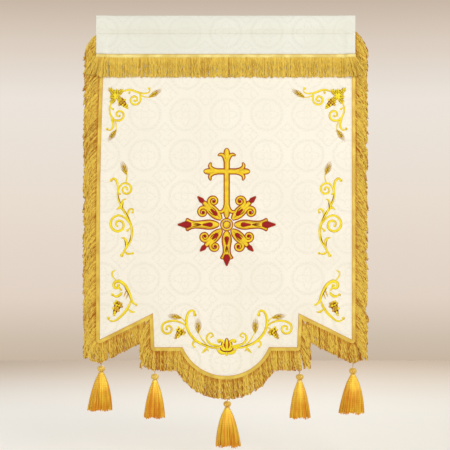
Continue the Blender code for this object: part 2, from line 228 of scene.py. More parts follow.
def show(
    name: str, surface: Surface, material: bpy.types.Material, slot: Slot, sharp: float = 50.0
) -> bpy.types.Object:
    """Puts a surface into a mesh object at the origin, riding on the banner.

    Args:
        name: The piece's name.
        surface: Its arrays.
        material: Its finish.
        slot: The record's slot that it stands for.
        sharp: Angle in degrees past which an edge stays sharp.

    Returns:
        The object.
    """
    mesh = bpy.data.meshes.new(name)
    corners = np.concatenate([surface.quads.ravel(), surface.tris.ravel()])
    sizes = np.concatenate([np.full(len(surface.quads), 4), np.full(len(surface.tris), 3)])
    mesh.vertices.add(len(surface.points))
    mesh.vertices.foreach_set("co", surface.points.astype(np.float32).ravel())
    mesh.loops.add(len(corners))
    mesh.loops.foreach_set("vertex_index", corners.astype(np.int32))
    mesh.polygons.add(len(sizes))
    mesh.polygons.foreach_set("loop_start", (np.cumsum(sizes) - sizes).astype(np.int32))
    mesh.update(calc_edges=True)
    uv = np.concatenate([surface.quad_uv.reshape(-1, 2), surface.tri_uv.reshape(-1, 2)])
    mesh.uv_layers.new(name="UVMap").data.foreach_set("uv", uv.astype(np.float32).ravel())
    shades = mesh.attributes.new("shade", "FLOAT", "POINT")
    shades.data.foreach_set("value", surface.shade.astype(np.float32))
    mesh.validate()
    mesh.shade_smooth()
    mesh.set_sharp_from_angle(angle=np.radians(sharp))
    mesh.materials.append(material)
    piece = bpy.data.objects.new(name, mesh)
    bpy.context.scene.collection.objects.link(piece)
    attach(piece, "root")
    triangles = 2 * len(surface.quads) + len(surface.tris)
    log.info("%-28s %7d triangles, %s", name, triangles, slot.value)
    return piece


# ---------------------------------------------------------------- plane curves


def unit(vectors: Array) -> Array:
    """The vectors at length 1."""
    return vectors / np.linalg.norm(vectors, axis=-1, keepdims=True)


def left_of(vectors: Array) -> Array:
    """Plane vectors turned a quarter from +X towards +Z."""
    return np.stack([-vectors[..., 1], vectors[..., 0]], -1)


def circle(angle: Array | float) -> Array:
    """Unit vectors at angles in radians from +X towards +Z."""
    return np.stack([np.cos(angle), np.sin(angle)], -1)


def facing(degrees: float) -> Array:
    """The unit vector at an angle in degrees from +X towards +Z."""
    return circle(np.radians(degrees))


def beside(origin: Array, ahead: Array, pairs: Array) -> Array:
    """Plane points given by their distances along ahead and to its left, from an origin."""
    return origin + pairs[:, :1] * ahead + pairs[:, 1:] * left_of(ahead)


def through(points: Array, spacing: float) -> Array:
    """A Catmull-Rom curve through points: each span is the cubic whose end slopes join its neighbours' far ends.

    Args:
        points: The points, of shape (p, 2).
        spacing: Distance between the points given back.

    Returns:
        Evenly spaced points on the curve.
    """
    ends = np.vstack([2 * points[0] - points[1], points, 2 * points[-1] - points[-2]])
    before, start, stop, after = (ends[i : len(ends) - 3 + i, None] for i in range(4))
    t = np.linspace(0, 1, 24, endpoint=False)[None, :, None]
    cubic = 0.5 * (
        2 * start
        + (stop - before) * t
        + (2 * before - 5 * start + 4 * stop - after) * t**2
        + (3 * start - before - 3 * stop + after) * t**3
    )
    return evenly(np.vstack([cubic.reshape(-1, 2), points[-1:]]), spacing)


def evenly(path: Array, spacing: float) -> Array:
    """The same path with its points a fixed distance apart.

    Args:
        path: Points, of shape (m, dimensions).
        spacing: About how far apart the new ones stand.

    Returns:
        The new points, the two ends among them.
    """
    length = lengths_of(path)
    count = max(5, int(round(length[-1] / spacing)) + 1)
    stations = np.linspace(0, length[-1], count)
    return np.stack([np.interp(stations, length, path[:, i]) for i in range(path.shape[1])], -1)


def scroll(centre: Pair, radius: float, start: float, turns: float, eye: float = 0.16) -> Array:
    """A spiral that winds in: the radius shrinks evenly with the angle, from radius to eye times radius.

    Args:
        centre: The eye of the scroll.
        radius: Outer radius.
        start: Angle of the outer end in degrees, from +X towards +Z.
        turns: Turns to the eye, positive from +X towards +Z.
        eye: Inner radius as a share of the outer one.

    Returns:
        Points every 20 degrees.
    """
    count = int(abs(turns) * 18) + 1
    share = np.linspace(0, 1, count)
    angle = np.radians(start + 360 * turns * share)
    reach = radius * (1 - (1 - eye) * share)
    return np.array(centre) + reach[:, None] * circle(angle)


# ---------------------------------------------------------------- the hanging cloth


@dataclass(frozen=True)
class Hang:
    """How the flat pattern hangs: slow waves in depth, and a left half that leans in towards its top."""

    field_half: float = 0.353
    wave_depth: float = 0.0016
    wave_length: float = 0.52
    ripple_depth: float = 0.0007
    ripple_length: float = 0.31
    full_at: float = 0.90
    lean_most: float = 0.0095
    lean_from: float = 0.18
    lean_to: float = 0.66

    def drape(self, x: Array, z: Array) -> Array:
        """Depth of the cloth: a long sine wave across it and a shorter slanting one, growing with the drop.

        Args:
            x: Across, in the flat pattern.
            z: Height.

        Returns:
            How far behind its plane the cloth hangs.
        """
        drop = np.clip(-z / self.full_at, 0, 1.2)
        wave = self.wave_depth * np.sin(2 * np.pi * x / self.wave_length + 0.6)
        ripple = self.ripple_depth * np.sin(2 * np.pi * (x + 0.25 * z) / self.ripple_length)
        return drop * (wave + ripple)

    def lean(self, x: Array, z: Array) -> Array:
        """How far in the left half stands at flat places: a parabola up the height, growing with the way out."""
        share = np.clip((self.lean_to + z) / (self.lean_to - self.lean_from), 0, 1)
        return self.lean_most * share**2 * np.maximum(0, -x / self.field_half)

    def place(self, x: Array, y: Array, z: Array, follow: Array | float = 1.0) -> Array:
        """Points of the flat pattern as they hang, at a depth and with a share of the lean."""
        x, y, z, follow = np.broadcast_arrays(x, y, z, follow)
        return np.stack([x + follow * self.lean(x, z), y + self.drape(x, z), z], -1)


@dataclass(frozen=True)
class Cut:
    """The banner's pattern: the field that shows between the tapes, and the widths sewn round it."""

    half: float = 0.353
    top: float = -0.045
    tail_z: float = -0.907
    notch: Pair = (-0.204, -0.833)
    ledge: Pair = (-0.200, -0.928)
    apron_half: float = 0.1205
    apron_drop: float = 0.0805
    cloth: float = 0.0020
    gap: float = 0.0003
    tape: float = 0.014
    tape_thick: float = 0.0018
    hem: float = 0.013
    skirt: float = 0.050

    @property
    def tape_back(self) -> float:
        """Depth of the tapes' back face."""
        return -self.cloth / 2 - self.gap

    @property
    def radius(self) -> float:
        """Radius of the apron's arc, from its chord and drop."""
        return (self.apron_half**2 + self.apron_drop**2) / (2 * self.apron_drop)

    @property
    def centre_z(self) -> float:
        """Height of the centre of the apron's arc."""
        return self.ledge[1] - self.apron_drop + self.radius

    def corners(self) -> dict[str, Array]:
        """The left half's corners and its edges' outward normals.

        Returns:
            Points tail, notch, ledge and apron, and normals side, slant, step and level.
        """
        tail, notch = np.array((-self.half, self.tail_z)), np.array(self.notch)
        ledge, apron = np.array(self.ledge), np.array((-self.apron_half, self.ledge[1]))

        def outward(start: Array, end: Array) -> Array:
            """The normal on the right of the way from start to end."""
            along = unit(end - start)
            return np.array((along[1], -along[0]))

        return {
            "tail": tail, "notch": notch, "ledge": ledge, "apron": apron,
            "side": np.array((-1.0, 0.0)), "slant": outward(tail, notch),
            "step": outward(notch, ledge), "level": np.array((0.0, -1.0)),
        }

    def arc(self, width: float, share: Array) -> Array:
        """Points of the apron's arc moved out by width, from the left ledge to the right one.

        Args:
            width: How far outside the field.
            share: Places along it, 0 to 1.

        Returns:
            Points, of shape (n, 2).
        """
        reach = self.radius + width
        half = np.arccos((self.centre_z - self.ledge[1] + width) / reach)
        angle = half * (2 * share - 1)
        return np.stack([np.sin(angle) * reach, self.centre_z - np.cos(angle) * reach], -1)

    def outline(self, width: float) -> Array:
        """The lower cut edge from the left side to the right one, width outside the field.

        Args:
            width: How far outside the field.

        Returns:
            Points whose x grows all the way.
        """
        c = self.corners()
        share = np.linspace(0, 1, 6)
        left = np.vstack([
            c["tail"] + turned(c["side"], c["slant"], share) * width,
            mitre(c["notch"], c["slant"], c["step"], width)[None],
            c["ledge"] + turned(c["step"], c["level"], share) * width,
        ])
        arc = self.arc(width, np.linspace(0, 1, 40))
        return np.vstack([left, arc, left[::-1] * (-1, 1)])


def turned(first: Array, second: Array, share: Array) -> Array:
    """Unit vectors turned evenly from first to second by the shorter way.

    Args:
        first: The direction at share 0.
        second: The direction at share 1.
        share: How far round each one is.

    Returns:
        Vectors, of shape (n, 2).
    """
    start = np.arctan2(first[1], first[0])
    sweep = np.remainder(np.arctan2(second[1], second[0]) - start + np.pi, 2 * np.pi) - np.pi
    return circle(start + sweep * share)


def mitre(corner: Array, first: Array, second: Array, width: float) -> Array:
    """Where two edges with these normals meet once both have moved out by width."""
    return corner + (first + second) * (width / (1 + first @ second))


HANG = Hang()
CUT = Cut()
# Distances from the middle between which the flap and the top fringe step up over the side tapes.
STEP_UP = (0.328, 0.342)


# ---------------------------------------------------------------- node graphs

TURN, HALF_TURN = 6.2832, 3.1416


class Graph:
    """A node tree with short ways to add nodes and join them."""

    def __init__(self, tree: bpy.types.NodeTree) -> None:
        """Keeps the tree."""
        self.tree = tree

    def add(self, kind: str, inputs: dict | None = None, **settings: object) -> bpy.types.Node:
        """Adds a node, sets it up and feeds its inputs.

        Args:
            kind: The node's type without its ShaderNode prefix.
            inputs: Input names or numbers, each with a value or an output socket.
            settings: The node's own properties.

        Returns:
            The node.
        """
        made = self.tree.nodes.new("ShaderNode" + kind)
        for key, value in settings.items():
            setattr(made, key, value)
        for key, value in (inputs or {}).items():
            self.feed(made.inputs[key], value)
        return made

    def feed(self, socket: Socket, value: object) -> None:
        """Links an output socket to an input, or sets the input's own value."""
        if isinstance(value, Socket):
            self.tree.links.new(value, socket)
        elif socket.type == "RGBA":
            socket.default_value = (*value, 1)
        else:
            socket.default_value = value

    def math(self, operation: str, *values: object) -> Socket:
        """The result of a Math node on one to three values or sockets."""
        return self.add("Math", dict(enumerate(values)), operation=operation).outputs[0]

    def mix(self, factor: object, first: object, second: object) -> Socket:
        """A colour between two others by factor."""
        inputs = {0: factor, 6: first, 7: second}
        return self.add("Mix", inputs, data_type="RGBA").outputs[2]

    def noise(self, vector: object, scale: float, detail: float = 2.0) -> Socket:
        """A soft random value from 0 to 1."""
        return self.add("TexNoise", {"Vector": vector, "Scale": scale, "Detail": detail}).outputs["Fac"]

    def span(
        self, value: object, low: float, high: float, start: float = 0.0, end: float = 1.0, kind: str = "SMOOTHSTEP"
    ) -> Socket:
        """A value carried from the range low to high to the range start to end."""
        inputs = {"Value": value, 1: low, 2: high, 3: start, 4: end}
        return self.add("MapRange", inputs, interpolation_type=kind).outputs[0]

    def uv(self) -> Socket:
        """The piece's own UV place."""
        return self.add("UVMap", uv_map="UVMap").outputs[0]

    def place(self) -> Socket:
        """The place in metres in the piece."""
        return self.add("TexCoord").outputs["Object"]

    def shade(self) -> Socket:
        """The shade kept at each point."""
        return self.add("Attribute", attribute_name="shade").outputs["Fac"]

    def split(self, vector: object) -> tuple[Socket, ...]:
        """The X, Y and Z of a vector."""
        return tuple(self.add("SeparateXYZ", {0: vector}).outputs)


def group(name: str, inputs: dict[str, object], outputs: tuple[str, ...]) -> tuple[Graph, dict, bpy.types.Node]:
    """Starts a shader node group.

    Args:
        name: The group's name.
        inputs: Input names with their first values; a tuple makes a vector socket.
        outputs: Names of its value outputs.

    Returns:
        The graph, its input sockets by name, and the group's output node.
    """
    tree = bpy.data.node_groups.new(name, "ShaderNodeTree")
    for key, value in inputs.items():
        kind = "NodeSocketVector" if isinstance(value, tuple) else "NodeSocketFloat"
        socket = tree.interface.new_socket(key, in_out="INPUT", socket_type=kind)
        socket.default_value = value
    for key in outputs:
        tree.interface.new_socket(key, in_out="OUTPUT", socket_type="NodeSocketFloat")
    entry = tree.nodes.new("NodeGroupInput")
    return Graph(tree), {s.name: s for s in entry.outputs if s.name}, tree.nodes.new("NodeGroupOutput")


@lru_cache
def weave_group() -> bpy.types.NodeTree:
    """Plain weave: two sine waves, each pressed down where the other rises.

    Returns:
        A group from a place in metres and two pitches to the cloth's Height.
    """
    g, given, out = group("weave", {"Vector": (0.0, 0.0, 0.0), "Warp": 0.001, "Weft": 0.001}, ("Height",))
    x, y, _ = g.split(given["Vector"])
    warp = g.math("SINE", g.math("MULTIPLY", g.math("DIVIDE", x, given["Warp"]), TURN))
    weft = g.math("SINE", g.math("MULTIPLY", g.math("DIVIDE", y, given["Weft"]), TURN))
    g.feed(out.inputs["Height"], g.math("MULTIPLY_ADD", g.math("MULTIPLY", warp, weft), 0.5, 0.5))
    return g.tree


@lru_cache
def tone_group() -> bpy.types.NodeTree:
    """Slow unevenness of a dyed cloth: two noises, a broad one and a fine one, about 0.5.

    Returns:
        A group from a place and a scale to a Tone and a fine Grain.
    """
    g, given, out = group("tone", {"Vector": (0.0, 0.0, 0.0), "Scale": 6.0}, ("Tone", "Grain"))
    broad = g.noise(given["Vector"], given["Scale"])
    fine = g.noise(given["Vector"], g.math("MULTIPLY", given["Scale"], 23.0))
    g.feed(out.inputs["Tone"], broad)
    g.feed(out.inputs["Grain"], fine)
    return g.tree


@lru_cache
def twist_group() -> bpy.types.NodeTree:
    """Ply twist of a thread: a wave that runs slantwise round it, u once round and v in metres.

    Returns:
        A group from a UV place and a lay in metres to a Height that dips between the plies.
    """
    g, given, out = group("twist", {"Vector": (0.0, 0.0, 0.0), "Lay": 0.004, "Plies": 2.0}, ("Height",))
    u, v, _ = g.split(given["Vector"])
    turn = g.math("ADD", g.math("MULTIPLY", u, given["Plies"]), g.math("DIVIDE", v, given["Lay"]))
    wave = g.math("ABSOLUTE", g.math("SINE", g.math("MULTIPLY", turn, HALF_TURN)))
    g.feed(out.inputs["Height"], g.math("POWER", wave, 0.6))
    return g.tree


@lru_cache
def stitch_group() -> bpy.types.NodeTree:
    """Satin stitches side by side across a shape: a row of rounded threads, slanted and slightly uneven.

    Returns:
        A group from a UV place, a pitch and a slant to a Height.
    """
    given_values = {"Vector": (0.0, 0.0, 0.0), "Pitch": 0.0006, "Slant": 0.001}
    g, given, out = group("stitch", given_values, ("Height",))
    u, v, _ = g.split(given["Vector"])
    wander = g.math("MULTIPLY", g.noise(given["Vector"], 90.0), 0.0006)
    run = g.math("ADD", g.math("MULTIPLY_ADD", u, given["Slant"], v), wander)
    wave = g.math("ABSOLUTE", g.math("SINE", g.math("MULTIPLY", g.math("DIVIDE", run, given["Pitch"]), HALF_TURN)))
    g.feed(out.inputs["Height"], wave)
    return g.tree


@lru_cache
def damask_group() -> bpy.types.NodeTree:
    """The tone-on-tone figure: rings with a four-lobed flower inside, and lozenges with a flower between them.

    Each band is a soft hill of a distance: from the ring's radius, from a lobed curve whose radius swells and shrinks
    with the cosine of so many times the angle, and from a line on which the two offsets have a fixed sum.

    Returns:
        A group from a place in metres and the two repeats to the Figure mask.
    """
    given_values = {"Vector": (0.0, 0.0, 0.0), "Across": 0.1148, "Up": 0.1148}
    g, given, out = group("damask", given_values, ("Figure",))
    x, y, _ = g.split(given["Vector"])

    def cell(value: object, size: object, shift: float) -> Socket:
        """Distance in metres from the middle of the repeat that the place falls in."""
        share = g.math("FRACT", g.math("ADD", g.math("DIVIDE", value, size), shift))
        return g.math("MULTIPLY", g.math("SUBTRACT", share, 0.5), size)

    def polar(shift: float) -> tuple[Socket, ...]:
        """Place, radius and angle about the middles of repeats shifted by a share."""
        a, b = cell(x, given["Across"], shift), cell(y, given["Up"], shift + 0.41)
        radius = g.math("SQRT", g.math("ADD", g.math("MULTIPLY", a, a), g.math("MULTIPLY", b, b)))
        return a, b, radius, g.math("ARCTAN2", b, a)

    def band(distance: object, width: float) -> Socket:
        """1 on the line where distance is 0, fading to 0 at width."""
        return g.span(g.math("ABSOLUTE", distance), width * 0.15, width * 1.25, 1.0, 0.0)

    def lobed(angle: object, count: float, size: float, swell: float) -> Socket:
        """Radius of a flower outline at an angle."""
        wave = g.math("COSINE", g.math("MULTIPLY", angle, count))
        return g.math("MULTIPLY_ADD", wave, swell, size)

    _, _, ring, turn = polar(0.5)
    a, b, far, far_turn = polar(0.0)
    lozenge = g.math("ADD", g.math("ABSOLUTE", a), g.math("ABSOLUTE", b))
    # Weights and bands: the ring, the flower in it, its heart, the flower between rings, the lozenge.
    bands = [
        (0.8, band(g.math("SUBTRACT", ring, 0.0430), 0.0056)),
        (0.55, band(g.math("SUBTRACT", ring, lobed(turn, 4.0, 0.0235, 0.0075)), 0.0052)),
        (0.5, band(g.math("SUBTRACT", ring, lobed(turn, 8.0, 0.0095, 0.0022)), 0.0044)),
        (0.6, band(g.math("SUBTRACT", far, lobed(far_turn, 4.0, 0.0165, -0.0060)), 0.0046)),
        (0.7, band(g.math("SUBTRACT", lozenge, 0.0335), 0.0044)),
    ]
    figure = 0.0
    for weight, shape in bands:
        figure = g.math("MAXIMUM", figure, g.math("MULTIPLY", shape, weight))
    mottle = g.span(g.noise(given["Vector"], 230.0, 1.0), 0.3, 0.7, 0.25, 1.4)
    g.feed(out.inputs["Figure"], g.math("MULTIPLY", g.math("ADD", figure, 0.30), mottle))
    return g.tree


@dataclass(frozen=True)
class Finish:
    """What every finish shares: a Principled shader with fixed gloss, and a colour and height that vary."""

    name: str
    colour: Colour
    deep: Colour
    roughness: float = 0.5
    sheen: float = 0.0
    metallic: float = 0.0
    bump: float = 0.3
    relief: float = 0.0003
    specular: float = 0.5

    def start(self) -> tuple[Graph, bpy.types.Node, bpy.types.Material]:
        """Makes the material with its shader's constant values set.

        Returns:
            Its graph, its shader and the material.
        """
        made = bpy.data.materials.new(self.name)
        made.use_nodes = True
        shader = made.node_tree.nodes["Principled BSDF"]
        shader.inputs["Roughness"].default_value = self.roughness
        shader.inputs["Metallic"].default_value = self.metallic
        shader.inputs["Specular IOR Level"].default_value = self.specular
        shader.inputs["Sheen Weight"].default_value = self.sheen
        shader.inputs["Sheen Roughness"].default_value = 0.4
        return Graph(made.node_tree), shader, made

    def use(self, g: Graph, tree: bpy.types.NodeTree, inputs: dict) -> bpy.types.Node:
        """Places a shared group with this finish's values.

        Args:
            g: The material's graph.
            tree: The group.
            inputs: Its inputs by name.

        Returns:
            The group node.
        """
        made = g.add("Group", node_tree=tree)
        for key, value in inputs.items():
            g.feed(made.inputs[key], value)
        return made

    def raise_by(self, g: Graph, shader: bpy.types.Node, height: object) -> None:
        """Feeds a height through a Bump node to the shader's normal."""
        inputs = {"Strength": self.bump, "Distance": self.relief, "Height": height}
        g.feed(shader.inputs["Normal"], g.add("Bump", inputs).outputs[0])


@dataclass(frozen=True)
class Brocade(Finish):
    """Ivory brocade: dull plain-weave ground, satin figure a little lighter and smoother."""

    figure: Colour = (0.9, 0.85, 0.7)
    thread: float = 0.0011

    def build(self) -> bpy.types.Material:
        """Makes the material.

        Returns:
            The material, which reads a UV map in metres.
        """
        g, shader, made = self.start()
        uv = g.uv()
        face = g.shade()
        damask = g.math("MULTIPLY", self.use(g, damask_group(), {"Vector": uv}).outputs[0], face)
        weave = self.use(g, weave_group(), {"Vector": uv, "Warp": self.thread, "Weft": self.thread}).outputs[0]
        tone = self.use(g, tone_group(), {"Vector": uv, "Scale": 7.0})
        ground = g.mix(g.span(tone.outputs["Tone"], 0.3, 0.7), self.deep, self.colour)
        speck = g.math("MULTIPLY", tone.outputs["Grain"], 0.30)
        ground = g.mix(speck, ground, self.deep)
        g.feed(shader.inputs["Base Color"], g.mix(g.math("MULTIPLY", damask, 0.85), ground, self.figure))
        g.feed(shader.inputs["Roughness"], g.span(damask, 0.0, 1.0, self.roughness, self.roughness - 0.10))
        wrinkle = g.math("MULTIPLY", g.noise(uv, 18.0, 3.0), 6.0)
        height = g.math("ADD", g.math("MULTIPLY_ADD", weave, 0.35, wrinkle), g.math("MULTIPLY", damask, 0.5))
        self.raise_by(g, shader, height)
        return made


@dataclass(frozen=True)
class Thread(Finish):
    """Twisted fringe, tassel or cord thread: shade by thread, with painted shade in the grooves between its plies."""

    lay: float = 0.0042
    plies: float = 2.0
    patches: float = 26.0
    drift: float = 0.9
    # The colour painted into the grooves between the plies as their shade.
    tip: Colour = (0.5, 0.3, 0.05)

    def build(self) -> bpy.types.Material:
        """Makes the material.

        Returns:
            The material, which reads the UV map and the shade attribute.
        """
        g, shader, made = self.start()
        uv = g.uv()
        place = g.place()
        shade = g.shade()
        twist = self.use(g, twist_group(), {"Vector": uv, "Lay": self.lay, "Plies": self.plies}).outputs[0]
        tone = self.use(g, tone_group(), {"Vector": place, "Scale": self.patches}).outputs["Tone"]
        depth = g.math("MULTIPLY_ADD", g.math("SUBTRACT", tone, 0.5), self.drift, shade)
        body = g.mix(g.span(depth, 0.05, 0.95), self.deep, self.colour)
        # Painted shade: the grooves between the plies are mixed towards the tip colour.
        painted_groove_shade = g.math("MULTIPLY", g.math("SUBTRACT", 1.0, twist), 0.55)
        g.feed(shader.inputs["Base Color"], g.mix(painted_groove_shade, body, self.tip))
        self.raise_by(g, shader, twist)
        return made


@dataclass(frozen=True)
class Stitch(Finish):
    """Raised satin stitch: a painted highlight along the crest, painted shade deeper towards one side and between the
    stitches, with a ridge for each thread.
    """

    pitch: float = 0.0007
    slant: float = 0.0016
    # How dark the painted shade off the crest grows.
    edge: float = 0.55

    def build(self) -> bpy.types.Material:
        """Makes the material.

        Returns:
            The material, which reads u across the stitching and v along it in metres.
        """
        g, shader, made = self.start()
        uv = g.uv()
        place = g.place()
        u, _, _ = g.split(uv)
        shade = g.shade()
        threads = self.use(g, stitch_group(), {"Vector": uv, "Pitch": self.pitch, "Slant": self.slant}).outputs[0]
        tone = self.use(g, tone_group(), {"Vector": place, "Scale": 60.0}).outputs["Tone"]
        # Painted light: a highlight along a crest a little off the middle, and painted shade towards both sides, most
        # towards u = 1.
        off_crest = g.math("ABSOLUTE", g.math("SUBTRACT", u, 0.42))
        rim = g.math("MULTIPLY", g.span(off_crest, 0.18, 0.52), self.edge)
        patch = g.math("MULTIPLY", g.span(tone, 0.35, 0.75), 0.35)
        tone_and_painted_shade = g.math("ADD", g.math("ADD", rim, patch), g.math("SUBTRACT", 0.5, shade))
        body = g.mix(g.math("MINIMUM", g.math("MAXIMUM", tone_and_painted_shade, 0.0), 1.0), self.colour, self.deep)
        # Painted shade in the grooves between the stitches.
        painted_groove_shade = g.math("MULTIPLY", g.math("SUBTRACT", 1.0, threads), 0.20)
        g.feed(shader.inputs["Base Color"], g.mix(painted_groove_shade, body, self.deep))
        self.raise_by(g, shader, threads)
        return made


@dataclass(frozen=True)
class Tape(Finish):
    """Woven gold tape: ribs across it, with a firmer cord along each edge."""

    rib: float = 0.0016

    def build(self) -> bpy.types.Material:
        """Makes the material.

        Returns:
            The material, which reads u across the tape and v along it in metres.
        """
        g, shader, made = self.start()
        uv = g.uv()
        place = g.place()
        u, v, _ = g.split(uv)
        ribs = g.add("CombineXYZ", {0: g.math("MULTIPLY", u, 0.028), 1: v}).outputs[0]
        weave = self.use(g, weave_group(), {"Vector": ribs, "Warp": self.rib, "Weft": self.rib * 0.8}).outputs[0]
        tone = self.use(g, tone_group(), {"Vector": place, "Scale": 30.0})
        edge = g.span(g.math("ABSOLUTE", g.math("SUBTRACT", u, 0.25)), 0.17, 0.23)
        body = g.mix(g.span(tone.outputs["Tone"], 0.3, 0.7), self.deep, self.colour)
        body = g.mix(g.math("MULTIPLY", edge, 0.35), body, self.deep)
        body = g.mix(g.span(u, 0.03, 0.05, 0.75, 0.0), body, srgb(206, 128, 40))
        # Painted shade in the hollows of the weave.
        grain = g.math("MULTIPLY", g.math("SUBTRACT", 1.0, weave), 0.35)
        g.feed(shader.inputs["Base Color"], g.mix(grain, body, self.deep))
        self.raise_by(g, shader, weave)
        return made


IVORY = Brocade("ivory_brocade_cloth", srgb(248, 242, 228), srgb(243, 237, 221), 0.66, 0.1,
                bump=0.16, relief=0.00025, figure=srgb(234, 228, 210))
IVORY_STRIP = Brocade("ivory_brocade_strip", srgb(234, 233, 221), srgb(227, 226, 212), 0.66, 0.1,
                      bump=0.16, relief=0.0002, figure=srgb(223, 222, 208))
SEWING = Thread("ivory_sewing_thread", srgb(226, 218, 192), srgb(196, 184, 150), 0.5, bump=0.2, tip=srgb(170, 154, 120))
GOLD_TAPE = Tape("gold_tape", srgb(234, 206, 86), srgb(208, 170, 58), 0.44, metallic=0.2)
PALE_TAPE = Tape("pale_gold_tape", srgb(250, 234, 152), srgb(222, 196, 100), 0.5, metallic=0.1, bump=0.6)
FRINGE = Thread("gold_fringe_thread", srgb(255, 230, 106), srgb(188, 112, 20), 0.34, metallic=0.25,
                bump=0.6, relief=0.0003, tip=srgb(150, 84, 12), patches=140.0, drift=0.6)
TOP_FRINGE = Thread("gold_top_fringe_thread", srgb(255, 228, 108), srgb(198, 150, 42), 0.42, metallic=0.2,
                    bump=0.5, relief=0.0003, tip=srgb(172, 124, 32), patches=60.0, drift=0.4)
TASSEL = Thread("gold_tassel_thread", srgb(255, 218, 62), srgb(236, 148, 14), 0.25, metallic=0.3,
                lay=0.006, bump=0.4, relief=0.0002, tip=srgb(190, 112, 14), patches=34.0)
WRAP = Thread("gold_wound_thread", srgb(255, 232, 120), srgb(228, 164, 44), 0.22, metallic=0.25,
              lay=0.003, bump=0.3, relief=0.0002, tip=srgb(178, 112, 20))
CORD = Thread("gold_cord_thread", srgb(226, 172, 58), srgb(160, 104, 24), 0.45, metallic=0.15,
              lay=0.005, bump=0.5, relief=0.0003, tip=srgb(120, 74, 14))
GOLD = Stitch("gold_satin_stitch", srgb(252, 232, 6), srgb(196, 146, 4), 0.42, metallic=0.1,
              bump=0.35, relief=0.0003, edge=0.7)
EMBLEM_GOLD = Stitch("emblem_gold_satin_stitch", srgb(248, 214, 4), srgb(192, 140, 6), 0.50, metallic=0.1,
                     bump=0.35, relief=0.0003, edge=0.6)
OLD_GOLD = Stitch("old_gold_satin_stitch", srgb(226, 180, 22), srgb(156, 108, 10), 0.42, metallic=0.1,
                  bump=0.4, relief=0.0003)
STRAW = Stitch("straw_satin_stitch", srgb(222, 186, 74), srgb(172, 128, 44), 0.46, metallic=0.1,
               bump=0.4, relief=0.0003)
RIM = Stitch("russet_outline_stitch", srgb(172, 58, 4), srgb(136, 38, 4), 0.75, bump=0.3, relief=0.0002, specular=0.2)
RUBY = Stitch("ruby_satin_stitch", srgb(168, 14, 24), srgb(116, 6, 18), 0.6, bump=0.35, relief=0.0003, specular=0.25)
BROWN = Stitch("brown_satin_stitch", srgb(136, 60, 6), srgb(104, 36, 8), 0.75, bump=0.3, relief=0.0002, specular=0.2)


# ---------------------------------------------------------------- cloth


def ease(value: Array, low: float, high: float) -> Array:
    """0 up to low, 1 from high on, and a smooth cubic step between."""
    share = np.clip((value - low) / (high - low), 0, 1)
    return share * share * (3 - 2 * share)


@dataclass
class Panel:
    """The shaped ivory cloth: one closed sheet on a grid of upright columns, wider at the hem than the field."""

    columns: int = 130
    rows: int = 90
    name: str = "banner_panel"

    def edge(self) -> tuple[Array, Array]:
        """The columns' places across, and the height of the cut edge at each.

        Returns:
            x and z, both of shape (columns,).
        """
        cut = CUT.outline(CUT.hem)
        fill = np.linspace(cut[0, 0], cut[-1, 0], self.columns)
        x = np.unique(np.round(np.concatenate([cut[:, 0], fill]), 5))
        return x, np.interp(x, cut[:, 0], cut[:, 1])

    def surface(self) -> Surface:
        """Front face, back face and rim: z = top + (edge(x) - top) * share, at half the thickness each way.

        Returns:
            The sheet, with its UV in metres of the flat pattern.
        """
        x, foot = self.edge()
        z = CUT.top + (foot[:, None] - CUT.top) * np.linspace(0, 1, self.rows)
        wide = np.broadcast_to(x[:, None], z.shape)
        faces = [HANG.place(wide, depth, z) for depth in (-CUT.cloth / 2, CUT.cloth / 2)]
        rings = np.concatenate([faces[0], faces[1][:, ::-1]], axis=1)[None]
        flat = np.stack([wide, z], -1)
        flat = np.concatenate([flat, flat[:, ::-1]], axis=1).reshape(-1, 2)
        made = loft(rings, np.linspace(0, 1, 2 * self.rows + 1), x).mapped(flat)
        made.shade = np.tile(np.repeat((1.0, 0.0), self.rows), len(x))
        return made

    def hem_stitches(self, inset: float = 0.007, pitch: float = 0.0062) -> Surface:
        """Running stitches along the hem behind the cloth: short arcs that dive into its back at either end.

        Args:
            inset: From the cut edge to the stitches.
            pitch: From one stitch to the next.

        Returns:
            The stitches.
        """
        side = CUT.half + CUT.hem - inset
        edge = CUT.outline(CUT.hem - inset)
        path = evenly(np.vstack([(-side, CUT.top - 0.04), edge, (side, CUT.top - 0.04)]), pitch)
        ahead = unit(np.gradient(path, axis=0))
        plane = path[:, None] + ahead[:, None] * np.linspace(-0.0017, 0.0017, 5)[None, :, None]
        y = CUT.cloth / 2 - 0.0001 + 0.00035 * np.sin(np.linspace(0, np.pi, 5))
        return tubes(HANG.place(plane[..., 0], y, plane[..., 1]), 0.00032, 5)

    def area(self) -> float:
        """Area of the flat cloth."""
        x, foot = self.edge()
        return float(np.trapz(CUT.top - foot, x))

    def build(self) -> bpy.types.Object:
        """Makes the cloth and its hem stitches.

        Returns:
            The cloth.
        """
        cloth = show(self.name, self.surface(), IVORY.build(), Slot.BROCADE)
        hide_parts(self.name)
        show("hem_stitches", self.hem_stitches(), SEWING.build(), Slot.BROCADE)
        return cloth


